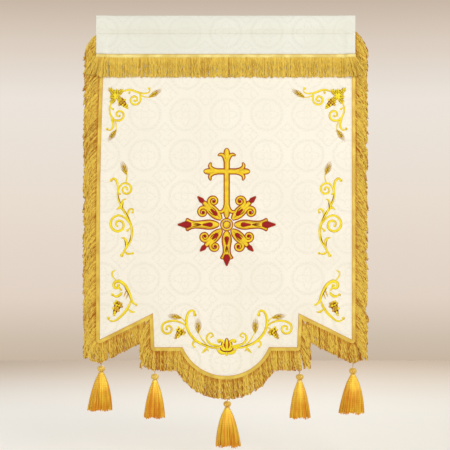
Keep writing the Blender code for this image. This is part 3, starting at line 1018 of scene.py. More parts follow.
@dataclass
class RodSleeve:
    """The brocade strip folded over the top: flap in front, round pocket, short leg behind."""

    half: float = 0.362
    pocket: float = 0.050
    foot: float = -0.107
    thick: float = 0.0015
    belly: float = 0.0072
    leg: float = 0.030
    leg_depth: float = 0.00205
    pucker: float = 0.0004
    over_tapes: float = 0.0034
    rise: Pair = STEP_UP
    walls: tuple[Pair, ...] = (
        (0.0, 0.0), (0.10, 0.34), (0.24, 0.78), (0.45, 1.0), (0.68, 0.98), (0.86, 0.72), (0.96, 0.38), (1.0, 0.0),
    )
    name: str = "rod_sleeve"

    def front(self, x: Array) -> Array:
        """Depth of the middle of the flap's thickness."""
        return -CUT.cloth / 2 - CUT.gap - self.thick / 2 - self.over_tapes * ease(np.abs(x), *self.rise)

    def line(self, x: Array) -> Array:
        """The strip's centre line in (y, z), from the flap's foot over the top to the end of the leg.

        Each wall of the pocket is a smooth curve of depth against height, between the seam's depth and the belly's.

        Args:
            x: Stations across, of shape (s,).

        Returns:
            Points, of shape (s, n, 2).
        """
        height, depth = through(np.array(self.walls), 0.07).T
        bulge = self.belly * (1 + 0.08 * np.sin(2 * np.pi * x / 0.41))[:, None]
        front = self.front(x)[:, None]
        seam, crown = -self.pocket, -self.thick / 2
        flap = np.linspace(self.foot, seam - 0.003, 16)
        leg = np.linspace(seam - 0.003, seam - self.leg, 6)
        rise = seam + (crown - seam) * height
        pucker = self.pucker * (1 + np.sin(x / 0.0031) * np.sin(x / 0.011))[:, None]
        near = np.exp(-(((flap - seam) / 0.007) ** 2))
        y = np.concatenate([
            front + 0 * flap - pucker * near, front * (1 - depth) - bulge * depth,
            (self.leg_depth * (1 - depth) + bulge * depth)[:, ::-1][:, 1:], self.leg_depth + 0 * bulge + 0 * leg,
        ], axis=1)
        z = np.concatenate([flap, rise, rise[::-1][1:], leg])
        return np.stack([y, np.broadcast_to(z, y.shape)], -1)

    def surface(self) -> Surface:
        """The centre line moved half the thickness to either side, carried across.

        Returns:
            The strip, with its UV in metres of the flat strip.
        """
        x = np.unique(np.round(np.concatenate([np.linspace(-self.half, self.half, 150), self.rise]), 4))
        line = self.line(x)
        along = unit(np.gradient(line, axis=1))
        side = left_of(along) * self.thick / 2
        section = np.concatenate([line + side, (line - side)[:, ::-1]], axis=1)
        wide = np.broadcast_to(x[:, None], section.shape[:2])
        depth = section[..., 0] + HANG.drape(wide, section[..., 1])
        rings = np.stack([wide, depth, section[..., 1]], -1)[None]
        run = self.foot + lengths_of(line)
        flat = np.stack([wide, np.concatenate([run, run[:, ::-1]], axis=1)], -1).reshape(-1, 2)
        return loft(rings, np.linspace(0, 1, section.shape[1] + 1), x, 1.0).mapped(flat)

    def seam(self, pitch: float = 0.0042, radius: float = 0.00034) -> Surface:
        """The stitches at the pocket's foot, in front and behind: short arcs that dive into the strip at either end.

        Args:
            pitch: From one stitch to the next.
            radius: Of the sewing thread.

        Returns:
            The stitches.
        """
        starts = np.arange(-self.half + 0.004, self.half - 0.006, pitch)
        x = starts[:, None] + np.linspace(0, 0.0031, 5)
        z = np.full_like(x, -self.pocket - 0.0012)
        arch = 0.0003 * np.sin(np.linspace(0, np.pi, 5))
        before = self.front(x) - self.thick / 2 - 0.0003 - arch
        behind = CUT.cloth / 2 + CUT.gap + self.thick + arch - 0.0001 + 0 * x
        y = HANG.drape(x, z) + np.stack([before, behind])
        rows = np.stack([np.stack([x, depth, z], -1) for depth in y]).reshape(-1, 5, 3)
        return tubes(rows, radius, 5, 0.5, away=(0.0, 0.0, 1.0))

    def build(self) -> bpy.types.Object:
        """Makes the strip and its seam.

        Returns:
            The strip.
        """
        strip = show(self.name, self.surface(), IVORY_STRIP.build(), Slot.BROCADE)
        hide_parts(self.name)
        show("sleeve_seam_stitches", self.seam(), SEWING.build(), Slot.BROCADE)
        return strip


# ---------------------------------------------------------------- fringe


@dataclass(frozen=True)
class Threads:
    """Sizes of a run's threads: spacing, clumps, raggedness, shades with painted shade for deeper threads and along
    each one, and the depths between which they lie.

    They start a share of the tape up from its edge (hold) at the depth root, and lie from under to skin below the
    pile's face.
    """

    pitch: float = 0.00076
    radius: float = 0.00098
    rings: int = 11
    sides: int = 4
    clump: float = 0.0070
    draw: float = 0.03
    ragged: float = 0.018
    stray: float = 0.025
    uneven: float = 0.04
    apart: float = 0.26
    deepest_painted_shade: float = 0.02
    wander: float = 0.0015
    curl: float = 17.0
    scatter: float = 0.022
    lengthwise_painted_light: float = 0.10
    hold: float = 0.30
    root: float = 0.0020
    under: float = 0.0019
    skin: float = 0.0010


@dataclass
class Run:
    """A run of fringe as columns of the flat pattern, each with its tape's inner and outer edge and a thread's tip."""

    name: str
    inner: Array
    outer: Array
    tip: Array
    bow: Array
    pile: Array
    clear: float = 0.0
    rise: float = 0.0
    leans: bool = True
    spec: Threads = Threads()

    @staticmethod
    def of(name: str, legs: list[dict], mirrored: bool = False, **more: object) -> "Run":
        """Joins straight legs and corner legs into one run.

        Args:
            name: The run's node.
            legs: For each leg its inner, outer, tip, bow and pile by column.
            mirrored: Whether to turn it over to the right half.
            more: The run's other fields.

        Returns:
            The run.
        """
        sign = np.array((-1.0 if mirrored else 1.0, 1.0))
        parts = {key: np.concatenate([leg[key] for leg in legs]) for key in ("inner", "outer", "tip", "bow")}
        pile = np.concatenate([leg["pile"] for leg in legs])
        return Run(name, *(part * sign for part in parts.values()), pile, **more)

    def at(self, share: Array) -> tuple[Array, ...]:
        """Columns at shares of the run's length, measured half way down the threads.

        Args:
            share: Shares, of shape (n,).

        Returns:
            Inner, outer, tip and bow of shape (n, 2), and pile of shape (n,).
        """
        length = lengths_of((self.outer + self.tip) / 2)
        where = share * length[-1]
        flat = [
            np.stack([np.interp(where, length, part[:, i]) for i in range(2)], -1)
            for part in (self.inner, self.outer, self.tip, self.bow)
        ]
        return (*flat, np.interp(where, length, self.pile))

    def length(self) -> float:
        """Length half way down the threads."""
        return float(lengths_of((self.outer + self.tip) / 2)[-1])

    def hang(self, plane: Array, y: Array, follow: Array | float) -> Array:
        """Flat places at these depths as they hang, the top run's ends lifted over the side tapes."""
        lifted = y - self.rise * ease(np.abs(plane[..., 0]), *STEP_UP)
        return HANG.place(plane[..., 0], lifted, plane[..., 1], follow if self.leans else 0.0)

    def tape(self) -> Surface:
        """The woven tape: a flat section with a firm edge on both sides, carried along the run.

        Returns:
            Its surface, with u from 0 to a half over its front.
        """
        length = lengths_of(self.outer)
        count = int(length[-1] / 0.004) + 8
        where = np.union1d(np.linspace(0, length[-1], count), length)
        inner, outer = (
            np.stack([np.interp(where, length, part[:, i]) for i in range(2)], -1) for part in (self.inner, self.outer)
        )
        across = np.array((0.0, 0.0, 0.05, 0.14, 0.5, 0.86, 0.95, 1.0, 1.0))
        depth = np.array((0.0, 0.55, 0.95, 0.86, 0.88, 0.86, 0.95, 0.55, 0.0))
        plane = inner[:, None] + (outer - inner)[:, None] * across[None, :, None]
        y = np.broadcast_to(CUT.tape_back - CUT.tape_thick * depth, plane.shape[:2])
        points = self.hang(plane, y, 1.0)
        return loft(points[None], np.append(across / 2, 1.0), where)

    def threads(self, rng: np.random.Generator) -> Surface:
        """The hanging threads.

        A thread leaves the tape's outer edge and runs to its tip on a line bent by a parabola, and winds round that
        line as a loose helix of its own. Neighbours draw together towards their tips in clumps.

        Args:
            rng: Source of the unevenness.

        Returns:
            All threads of the run.
        """
        spec, total = self.spec, self.length()
        count = int(total / spec.pitch)
        share = (np.arange(count) + 0.5 + rng.uniform(-0.4, 0.4, count)) / count
        clump = np.floor(share * total / spec.clump + rng.uniform(-0.25, 0.25, count))
        centre = np.clip((clump + 0.5) * spec.clump / total, 0, 1)
        many = int(clump.max()) + 2
        each = clump.astype(int)
        inner, outer, _, bow, pile = self.at(share)
        tip = self.at(share + (centre - share) * spec.draw)[2]
        longer = 1 + rng.normal(0, spec.ragged, many)[each] + rng.normal(0, spec.stray, count)
        tip = outer + (tip - outer) * longer[:, None]
        swing = rng.normal(0, spec.scatter, many)[each] + rng.normal(0, spec.scatter * 0.7, count)
        swing = np.clip(swing, -2 * spec.scatter, 2 * spec.scatter)
        tip = tip + left_of(tip - outer) * swing[:, None]
        keep = np.abs(outer[:, 0]) >= self.clear
        start = outer + (inner - outer) * spec.hold
        t = np.linspace(0, 1, spec.rings)[None, :, None]
        plane = start[:, None] + (tip - start)[:, None] * t + bow[:, None] * 4 * t * (1 - t)
        sideways = unit(left_of(tip - start))[:, None]
        turn = spec.curl * rng.uniform(0.75, 1.3, (count, 1, 1)) * t + rng.uniform(0, 6.28, (count, 1, 1))
        size = spec.wander * rng.uniform(0.4, 1.6, (count, 1, 1)) * np.minimum(1, 0.2 + 1.6 * t)
        plane = plane + sideways * size * np.sin(turn)
        layer = spec.under + (pile - spec.skin - spec.under) * rng.uniform(0, 1, count)
        down = ease(np.linspace(0, 1, spec.rings), 0.0, 0.35)[None]
        y = -(spec.root + (layer[:, None] - spec.root + 0.7 * (size * np.cos(turn))[..., 0]) * down)
        follow = np.interp(np.linspace(0, 1, spec.rings), (0, 0.2, 0.55, 1), (1, 1, 0.6, 0.2))
        points = self.hang(plane, y, follow[None])
        # Painted shade: threads that lie deeper in the pile, under others, are darker, down to the deepest layer's
        # shade; a random shade by clump and by thread comes on top.
        depth = (layer - spec.under) / np.maximum(pile - spec.skin - spec.under, 0.001)
        uneven = rng.normal(0, spec.uneven, many)[each] + rng.normal(0, spec.apart, count)
        shade = np.clip(spec.deepest_painted_shade + (0.85 - spec.deepest_painted_shade) * depth + uneven, 0, 1)[:, None]
        # Painted light along each thread: darker near the tape and at the tip and lighter between, turned round where
        # the factor is negative.
        shade = np.clip(shade + spec.lengthwise_painted_light * np.sin(np.linspace(-0.6, 3.4, spec.rings)), 0, 1)
        girth = spec.radius * (1.55 - 0.65 * depth)[:, None] * rng.uniform(0.9, 1.1, (count, 1)) * np.ones(spec.rings)
        return tubes(points[keep], girth[keep], spec.sides, shade[keep])


SIDE_THREADS = Threads(pitch=0.00070, clump=0.0060, draw=0.02, ragged=0.020, uneven=0.06, wander=0.0017, curl=19.0,
                       scatter=0.035)
TOP_THREADS = Threads(
    pitch=0.00088, radius=0.00084, clump=0.0042, draw=0.05, ragged=0.014, uneven=0.02, apart=0.12, deepest_painted_shade=0.40,
    wander=0.0011, curl=14.0, scatter=0.03, lengthwise_painted_light=-0.05,
)


@dataclass
class EdgeFringe:
    """Tape and threads round the cloth: sides, slants, steps, ledges and apron, and the level run at the top."""

    reach: Pair = (0.031, 0.028)
    step_reach: float = 0.022
    fan: float = 0.12
    top_z: float = -0.1078
    top_half: float = 0.363
    top_fan: float = 0.031
    over_tapes: float = 0.0072
    pile: float = 0.0058
    deep_pile: float = 0.0078

    def droop(self, reach: float) -> Array:
        """From the tape to the tip of a thread that stands out by reach and sinks under its weight."""
        return np.array((-0.92 * reach, -1.35 * np.sqrt(CUT.skirt**2 - reach**2)))

    def straight(
        self, inner: Array, outer: Array, hang: Array, bow: Pair, pile: float
    ) -> dict:
        """Columns of a straight leg.

        Args:
            inner: Its inner edge's two ends.
            outer: Its outer edge's two ends.
            hang: From the tape to a tip.
            bow: How far the threads bend off a straight line.
            pile: Depth of the threads.

        Returns:
            The columns by name.
        """
        return {
            "inner": inner, "outer": outer, "tip": outer + hang, "bow": np.tile(bow, (2, 1)), "pile": np.full(2, pile),
        }

    def corner(
        self, at: Array, normals: tuple[Array, Array], hangs: tuple[Array, Array],
        bow: Pair,
    ) -> dict:
        """Columns that fan round an outward corner.

        Args:
            at: The corner.
            normals: Outward normals before and after it.
            hangs: Hangs before and after it.
            bow: Bend of the threads before it, gone after it.

        Returns:
            The columns by name.
        """
        share = np.linspace(0, 1, 16)
        out = turned(*normals, share)
        outer = at + out * CUT.tape
        return {
            "inner": at + out * CUT.gap, "outer": outer, "tip": outer + turned(*hangs, share) * CUT.skirt,
            "bow": (1 - share)[:, None] * np.array(bow),
            "pile": self.deep_pile + (self.pile - self.deep_pile) * share,
        }

    def runs(self) -> list[Run]:
        """Every run, the left half's worked out and the right half's mirrored.

        Returns:
            The runs.
        """
        c, tape = CUT.corners(), CUT.tape
        down, lift, none = np.array((0.0, -CUT.skirt)), (-0.0034, 0.0042), (0.0, 0.0)
        made = []
        for word, reach in zip(("left", "right"), self.reach):
            other = {"mirrored": word == "right"}
            side, step = self.droop(reach), self.droop(self.step_reach)
            top = np.array((-CUT.half, CUT.top))
            notch = mitre(c["notch"], c["slant"], c["step"], tape)
            radial = unit(c["apron"] - np.array((0.0, CUT.centre_z)))
            ledge = mitre(c["apron"], c["level"], radial, tape)
            inner, normal = np.stack([top, c["tail"]]), c["side"] * tape
            made += [
                Run.of(f"fringe_side_{word}", [
                    self.straight(inner, inner + normal, side, lift, self.deep_pile),
                    self.corner(c["tail"], (c["side"], c["slant"]), (side, down), lift),
                ], spec=SIDE_THREADS, **other),
                Run.of(f"fringe_tail_{word}", [self.straight(
                    np.stack([c["tail"], c["notch"]]), np.stack([c["tail"] + c["slant"] * tape, notch]),
                    down, none, self.pile,
                )], clear=0.228, **other),
                Run.of(f"fringe_step_{word}", [
                    self.straight(np.stack([c["notch"], c["ledge"]]), np.stack([notch, c["ledge"] + c["step"] * tape]),
                                  step, lift, self.deep_pile),
                    self.corner(c["ledge"], (c["step"], c["level"]), (step, down), lift),
                ], spec=SIDE_THREADS, **other),
                Run.of(f"fringe_ledge_{word}", [self.straight(
                    np.stack([c["ledge"], c["apron"]]), np.stack([c["ledge"] + c["level"] * tape, ledge]),
                    down, none, self.pile,
                )], clear=0.1305, **other),
            ]
        return made + [self.apron(), self.top()]

    def apron(self) -> Run:
        """The run round the apron, whose threads fan a little."""
        share = np.linspace(0, 1, 60)
        outer = CUT.arc(CUT.tape, share)
        angle = self.fan * 1.1 * (2 * share - 1)
        tip = outer + np.stack([np.sin(angle), -np.cos(angle)], -1) * CUT.skirt
        flat = np.zeros((60, 2))
        return Run("fringe_apron", CUT.arc(0.0, share), outer, tip, flat, np.full(60, self.pile))

    def top(self) -> Run:
        """The level run under the flap, its ends spread over the side tapes."""
        x = np.linspace(-self.top_half, self.top_half, 121)
        spread = self.top_fan * ease(np.abs(x), self.top_half - 0.034, self.top_half + 0.004)
        inner = np.stack([x, np.full_like(x, self.top_z)], -1)
        outer = inner - (0.0, CUT.tape * 0.8)
        tip = inner + np.stack([np.sign(x) * spread, -CUT.tape - np.sqrt(CUT.skirt**2 - spread**2)], -1)
        return Run("fringe_top", inner, outer, tip, np.zeros((121, 2)), np.full(121, self.pile), 0.0,
                   self.over_tapes, False, TOP_THREADS)

    def build(self, rng: np.random.Generator) -> list[bpy.types.Object]:
        """Makes the threads of each run, the tape round the edge and the paler tape at the top.

        Args:
            rng: Source of the unevenness.

        Returns:
            The pieces.
        """
        runs, finishes = self.runs(), (FRINGE.build(), TOP_FRINGE.build())
        pieces = []
        for run in runs:
            piece = show(run.name, run.threads(rng), finishes[not run.leans], Slot.FRINGE, 80.0)
            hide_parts(run.name)
            pieces.append(piece)
        edge = Surface.joined([run.tape() for run in runs[:-1]])
        pieces.append(show("edge_tape", edge, GOLD_TAPE.build(), Slot.FRINGE))
        pieces.append(show("top_tape", runs[-1].tape(), PALE_TAPE.build(), Slot.FRINGE))
        return pieces


# ---------------------------------------------------------------- tassels


@dataclass
class Tassel:
    """A tassel: twisted cord sewn on behind the cloth, wound ball, bound neck and a flared skirt of threads."""

    name: str
    x: float
    sewn_z: float
    cord: float
    length: float
    spread: float
    sway: float
    knob: float = 0.0102
    knob_height: float = 0.0175
    neck: float = 0.0058
    collar: float = 0.0078
    collar_height: float = 0.0042
    flat: float = 0.78
    strands: int = 250
    plies: int = 3
    lay: float = 0.0085
    ply_radius: float = 0.00047
    ply_reach: float = 0.00052
    wraps: int = 30
    binds: int = 5
    bind_radius: float = 0.00062
    lock: float = 0.24
    shoulder: tuple[Pair, ...] = ((0.09, 0.30), (0.20, 0.47), (0.40, 0.67), (0.62, 0.83), (0.84, 0.94), (1.0, 1.0))

    @property
    def axis(self) -> Array:
        """Where the cord is sewn on."""
        depth = CUT.cloth / 2 + CUT.gap + 0.0014 + float(HANG.drape(np.array(self.x), np.array(self.sewn_z)))
        return np.array((self.x, depth, self.sewn_z))

    @property
    def cord_length(self) -> float:
        """Length of the cord, which runs on through the ball and down inside the skirt."""
        return self.cord + self.knob_height + 0.75 * (self.length - self.knob_height)

    def cord_path(self) -> Array:
        """Centre line of the cord from where it is sewn on down to its end inside the skirt."""
        z = np.linspace(0, -self.cord_length, 80)
        return self.axis + np.stack([0 * z, 0 * z, z], -1)

    def cord_surface(self) -> Surface:
        """Three plies that wind round the centre line as helices."""
        path = self.cord_path()
        turn = 2 * np.pi * lengths_of(path) / self.lay + np.arange(self.plies)[:, None] * 2 * np.pi / self.plies
        wound = path + self.ply_reach * np.stack([np.cos(turn), np.sin(turn), 0 * turn], -1)
        return tubes(wound, self.ply_radius, 6, np.array(((0.4,), (0.55,), (0.7,))))

    def knob_surface(self) -> Surface:
        """An ellipsoid wound with slanting threads, each a meridian that turns a little on its way down."""
        foot = self.axis - (0, 0, self.cord)
        middle = foot - (0, 0, self.knob_height / 2)

        def on_ball(turn: Array, polar: Array, grow: float) -> Array:
            """Points of the ellipsoid at these angles, moved out by grow."""
            radius = (self.knob + grow) * np.sin(polar) ** 0.9
            height = (self.knob_height / 2 + grow) * np.cos(polar)
            return middle + np.stack([radius * np.cos(turn), radius * np.sin(turn), height], -1)

        polar = np.linspace(0.14, np.pi - 0.14, 13)
        spin = np.linspace(0, 2 * np.pi, 24, endpoint=False)
        core = on_ball(spin[None], polar[:, None] + 0 * spin, -0.0006)[None]
        starts = np.linspace(0, 2 * np.pi, self.wraps, endpoint=False)[:, None]
        wound = on_ball(starts + 0.5 * polar, polar + 0 * starts, -0.0002)
        girth = 0.0003 + 0.00072 * np.sin(polar)
        shade = 0.55 + 0.25 * np.sin(np.arange(self.wraps) * 2.4)[:, None]
        # The core under the wound threads is darker: painted shade that shows between them.
        return Surface.joined([
            loft(core, np.linspace(0, 1, 25), polar, 0.3),
            tubes(wound, np.broadcast_to(girth, wound.shape[:2]), 5, shade),
        ])

    def collar_surface(self) -> Surface:
        """Turns of cord round the neck: one helix whose pitch is the height shared among the turns."""
        turn = np.linspace(0, 2 * np.pi * self.binds, 130)
        height = -self.cord - self.knob_height - 2 * CUT.gap - 0.0005 - (self.collar_height - 0.0008) * turn / turn[-1]
        radius = self.collar - 0.0006
        around = np.stack([radius * np.cos(turn), radius * np.sin(turn), height], -1)
        return tubes((self.axis + around)[None], self.bind_radius, 6, 0.7, away=(0.0, 0.0, 1.0))

    def bell(self, drop: Array) -> Array:
        """Radius of the skirt at shares of its drop: a neck, a shoulder, then nearly straight."""
        neck = self.neck / self.spread
        curve = through(np.array(((0, neck), (0.045, neck), *self.shoulder)), 0.03)
        return self.spread * np.interp(drop, curve[:, 0], curve[:, 1])

    def skirt_surface(self, rng: np.random.Generator) -> Surface:
        """A bell with threads over it, each at its own angle, with a hem that is a little uneven.

        Args:
            rng: Source of the unevenness.

        Returns:
            The skirt.
        """
        length = self.length - self.knob_height - CUT.gap
        top = self.axis - (0, 0, self.cord + self.knob_height + CUT.gap)

        def on_bell(turn: Array, drop: Array, grow: Array | float) -> Array:
            """Points at these angles and drops, grow times the bell's radius out."""
            radius = self.bell(drop) * grow
            flat = 1 - (1 - self.flat) * np.clip(drop, 0, 1)
            across = radius * np.cos(turn) + self.sway * drop**2
            return top + np.stack([across, radius * flat * np.sin(turn), -length * drop], -1)

        drop = np.linspace(0, 0.975, 12)
        spin = np.linspace(0, 2 * np.pi, 28, endpoint=False)
        core = on_bell(spin[None], drop[:, None] + 0 * spin, 0.90)[None]
        n = self.strands
        turn = np.linspace(0, 2 * np.pi, n, endpoint=False)[:, None] + rng.normal(0, 0.02, (n, 1))
        lock = np.round(turn / self.lock) * self.lock
        ends = 1 + rng.normal(0, 0.012, (n, 1)) + 0.018 * np.sin(lock * 5 + self.x * 90)
        drops = np.linspace(0.0, 1, 10)[None] * ends
        wander = (lock - turn) * 0.35 * drops**2 + rng.normal(0, 0.035, (n, 1)) * drops
        grow = 1 + (rng.uniform(-0.11, 0.03, (n, 1)) + 0.03 * np.sin(lock * 9)) * drops
        points = on_bell(turn + wander, drops, grow)
        girth = 0.00036 + 0.00062 * np.clip(self.bell(drops) / self.spread, 0, 1)
        # Painted light: strands that lie further in are darker, and every strand is lighter near the neck and darker
        # towards the hem; the streaks vary by lock and by strand.
        streak = rng.normal(0, 0.13, (n, 1)) + 0.14 * np.sin(lock * 7)
        shade = np.clip(0.52 + 2.2 * (grow[:, -1:] - 0.97) + streak + 0.34 * (0.35 - drops), 0, 1)
        # The core is darker: painted shade that shows between the strands.
        return Surface.joined([
            loft(core, np.linspace(0, 1, 29), drop * length, 0.25), tubes(points, girth, 5, shade),
        ])

    def build(self, finishes: dict[str, bpy.types.Material], rng: np.random.Generator) -> None:
        """Args:
            finishes: Materials for cord, ball and skirt.
            rng: Source of the unevenness.
        """
        surfaces = {
            "cord": (self.cord_surface(), "cord", Slot.CORD), "knob": (self.knob_surface(), "wrap", Slot.WRAP),
            "collar": (self.collar_surface(), "wrap", Slot.WRAP),
            "skirt": (self.skirt_surface(rng), "skirt", Slot.RAYON),
        }
        for part, (surface, finish, slot) in surfaces.items():
            name = f"tassel_{part}_{self.name}"
            show(name, surface, finishes[finish], slot, 80.0)
            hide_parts(name)


TASSELS = (
    ("far_left", -0.3490, -0.914, 0.066, 0.1230, 0.0335, -0.0040),
    ("mid_left", -0.1985, -0.936, 0.066, 0.1215, 0.0288, -0.0010),
    ("centre", 0.0040, -1.013, 0.066, 0.1250, 0.0342, 0.0030),
    ("mid_right", 0.2070, -0.936, 0.067, 0.1215, 0.0284, 0.0010),
    ("far_right", 0.3560, -0.914, 0.072, 0.1250, 0.0348, -0.0040),
)


# ---------------------------------------------------------------- embroidery

STEP = 1.4 * MM


def mm(*pairs: Pair) -> Array:
    """Plane points given in millimetres."""
    return np.array(pairs, float) * MM


class Swell(Enum):
    """Width of a satin shape along its length: shares of the length, and shares of the full width."""

    BAR = ((0, 1), (0.5, 1), (1, 1))
    LEAF = ((0, 0.15), (0.25, 0.78), (0.55, 1), (0.85, 0.5), (1, 0.06))
    OVAL = ((0, 0.35), (0.15, 0.78), (0.5, 1), (0.85, 0.72), (1, 0.12))
    DROP = ((0, 0.08), (0.4, 0.55), (0.75, 1), (0.93, 0.75), (1, 0.3))
    AWN = ((0, 0.9), (0.25, 1), (0.6, 0.8), (1, 0.25))
    BUNCH = ((0, 0.7), (0.2, 1), (0.6, 0.72), (1, 0.22))
    SPADE = ((0, 0.45), (0.3, 1), (0.5, 0.85), (0.78, 0.38), (1, 0.05))
    SCROLL = ((0, 0.35), (0.12, 0.85), (0.25, 1), (0.45, 0.62), (0.75, 0.42), (1, 0.34))
    HORN = ((0, 1), (0.45, 0.86), (0.85, 0.46), (1, 0.12))
    VINE = ((0, 0.35), (0.15, 0.9), (0.45, 1), (0.8, 0.7), (1, 0.42))
    LONG = ((0, 0.5), (0.1, 0.75), (0.5, 1), (0.85, 0.9), (1, 0.7))

    def widths(self, count: int) -> Array:
        """The shares of the full width at evenly spaced points."""
        marks = np.array(self.value, float)
        share = np.linspace(0, 1, count)
        return np.interp(share, *through(marks, 0.02).T)


def into_scroll(points: Array, centre: Pair, radius: float, turns: float, eye: float = 0.2) -> Array:
    """A stem that runs on into a scroll.

    Args:
        points: The stem's points, the last one near the scroll's rim.
        centre: The scroll's eye.
        radius: Its outer radius.
        turns: Turns to the eye, positive from +X towards +Z.
        eye: Inner radius as a share of the outer one.

    Returns:
        Evenly spaced points.
    """
    reach = points[-1] - np.array(centre)
    start = np.degrees(np.arctan2(reach[1], reach[0])) + 38 * np.sign(turns)
    return through(np.vstack([points, scroll(centre, radius, start, turns, eye)]), STEP)


@dataclass
class Needlework:
    """Gathers satin shapes by finish, doubles them about an axis where one is set, and makes a piece of each.

    Gold shapes are made fuller times as wide. Every shape's foot is sunk into the cloth.
    """

    rng: np.random.Generator
    shapes: dict[Stitch, list[Surface]] = field(default_factory=dict)
    axis: float | None = None
    fuller: float = 1.0
    sunk: float = 0.00015
    full_height_at: float = 0.0035
    awns: int = 11
    grain_pairs: int = 5

    def keep(self, finish: Stitch, surface: Surface) -> None:
        """Files a shape under its finish."""
        self.shapes.setdefault(finish, []).append(surface)

    def copies(self, path: Array) -> list[Array]:
        """The path, and its mirror image where an axis is set."""
        return [path] if self.axis is None else [path, np.array((2 * self.axis, 0)) + path * (-1, 1)]

    def ribbon(
        self, path: Array, widths: Array, finish: Stitch, height: float = 0.0011, lift: float = 0.0,
        shade: float = 0.5,
    ) -> None:
        """Satin stitch over a path: a domed section as wide as widths says, flat underneath.

        Args:
            path: Plane points.
            widths: Width at each.
            finish: Its thread.
            height: Height of the dome.
            lift: How far its foot stands off the cloth.
            shade: Its shade.
        """
        across = np.array((-1, -0.88, -0.5, 0, 0.5, 0.88, 1.0))
        rise = np.array((0, 0.52, 0.88, 1, 0.88, 0.52, 0))
        for line in self.copies(path):
            normal = left_of(unit(np.gradient(line, axis=0)))
            plane = line[:, None] + normal[:, None] * (widths[:, None] / 2 * across)[..., None]
            tall = height * np.clip(widths / self.full_height_at, 0.3, 1)
            y = -CUT.cloth / 2 + self.sunk - lift - tall[:, None] * rise
            points = HANG.place(plane[..., 0], y, plane[..., 1])
            u = np.append((across + 1) / 2, 0.0)
            self.keep(finish, loft(points[None], u, lengths_of(line), shade))

    def satin(
        self, path: Array, width: float, finish: Stitch, swell: Swell, height: float = 0.0011, lift: float = 0.0,
        shade: float = 0.5, outline: bool = False,
    ) -> None:
        """A satin shape with a swell, and a fine line of another thread round it where asked.

        Args:
            path: Plane points, evenly spaced.
            width: Full width.
            finish: Its thread.
            swell: How the width runs.
            height: Height of the dome.
            lift: How far its foot stands off the cloth.
            shade: Its shade.
            outline: Whether a russet line runs round it.
        """
        widths = swell.widths(len(path)) * width * (self.fuller if finish is GOLD else 1.0)
        self.ribbon(path, widths, finish, height, lift, shade)
        if outline:
            self.rim(path, widths, lift if finish is RUBY else 0.0)

    def rim(
        self, path: Array, widths: Array, lift: float = 0.0, width: float = 3.4 * MM, outside: float = 0.0007
    ) -> None:
        """A fine satin line just outside the contour of a ribbon, lower than the ribbon's own stitches.

        Args:
            path: The ribbon's path.
            widths: The ribbon's widths.
            lift: How far its foot stands off the cloth.
            width: Width of the line.
            outside: How far outside the contour its middle runs.
        """
        normal = left_of(unit(np.gradient(path, axis=0))) * (widths[:, None] / 2 + outside)
        contour = np.vstack([path + normal, (path - normal)[::-1], (path + normal)[:1]])
        line = evenly(contour, STEP)
        self.ribbon(line, np.full(len(line), width), RIM, 0.0011, lift)

    def curve(self, points: Array, width: float, finish: Stitch, swell: Swell = Swell.VINE, **more: object) -> None:
        """A satin shape on a smooth curve through a few points."""
        self.satin(through(points, STEP), width, finish, swell, **more)

    def scroll(
        self, stem: Array, centre: Pair, radius: float, turns: float, width: float, eye: float = 0.2,
    ) -> None:
        """A gold stem that runs on into a scroll with a small ball in its eye.

        Args:
            stem: Plane points, the last one near the scroll's rim.
            centre: The scroll's eye in millimetres.
            radius: Its outer radius in millimetres.
            turns: Turns to the eye, positive from +X towards +Z.
            width: Width of the stem in millimetres.
            eye: Inner radius as a share of the outer one.
        """
        path = into_scroll(stem, tuple(mm(centre)[0]), radius * MM, turns, eye)
        self.satin(path, width * MM, GOLD, Swell.LONG)
        self.beads(path[-1:], 0.66 * width * MM, GOLD)

    def beads(self, centres: Array, radius: Array | float, finish: Stitch, height: float = 0.0016) -> None:
        """Padded dots: domes whose rings shrink as a quarter circle.

        Args:
            centres: Plane points, of shape (k, 2).
            radius: One radius, or one for each.
            finish: Their thread.
            height: Height of a dome.
        """
        turn = np.linspace(0, 2 * np.pi, 12, endpoint=False)
        reach = np.array((1, 0.94, 0.72, 0.30))
        rise = np.array((0, 0.42, 0.8, 1.0))
        for places in self.copies(centres):
            size = np.broadcast_to(radius, len(places))[:, None, None, None] * reach[None, :, None, None]
            plane = places[:, None, None] + size * circle(turn)
            y = (-CUT.cloth / 2 + self.sunk - height * rise)[None, :, None]
            points = HANG.place(plane[..., 0], y, plane[..., 1])
            shade = self.rng.uniform(0.3, 0.7, (len(places), 1))
            self.keep(finish, loft(points, np.linspace(0, 1, 13), reach * 0.004, shade))

    def bead(self, x: float, z: float, radius: float) -> None:
        """One padded dot, its place and radius in millimetres."""
        self.beads(mm((x, z)), radius * MM, GOLD)

    def tendril(self, width: float, ball: float, *points: Pair, swell: Swell = Swell.VINE) -> None:
        """A curved stem with a padded ball at its end, all in millimetres."""
        self.curve(mm(*points), width * MM, GOLD, swell)
        self.beads(mm(points[-1]), ball * MM, GOLD, 0.0022)

    def leaf(self, width: float, *points: Pair) -> None:
        """A gold leaf on a curve, all in millimetres."""
        self.curve(mm(*points), width * MM, GOLD, Swell.LEAF)

    def stalk(self, width: float, *points: Pair) -> None:
        """A gold stalk on a curve, all in millimetres."""
        self.curve(mm(*points), width * MM, GOLD)

    def shadow(self, width: float, *points: Pair) -> None:
        """A low brown stroke along a stem, all in millimetres."""
        self.curve(mm(*points), width * MM, BROWN, Swell.LEAF, height=0.0005, lift=0.0010)

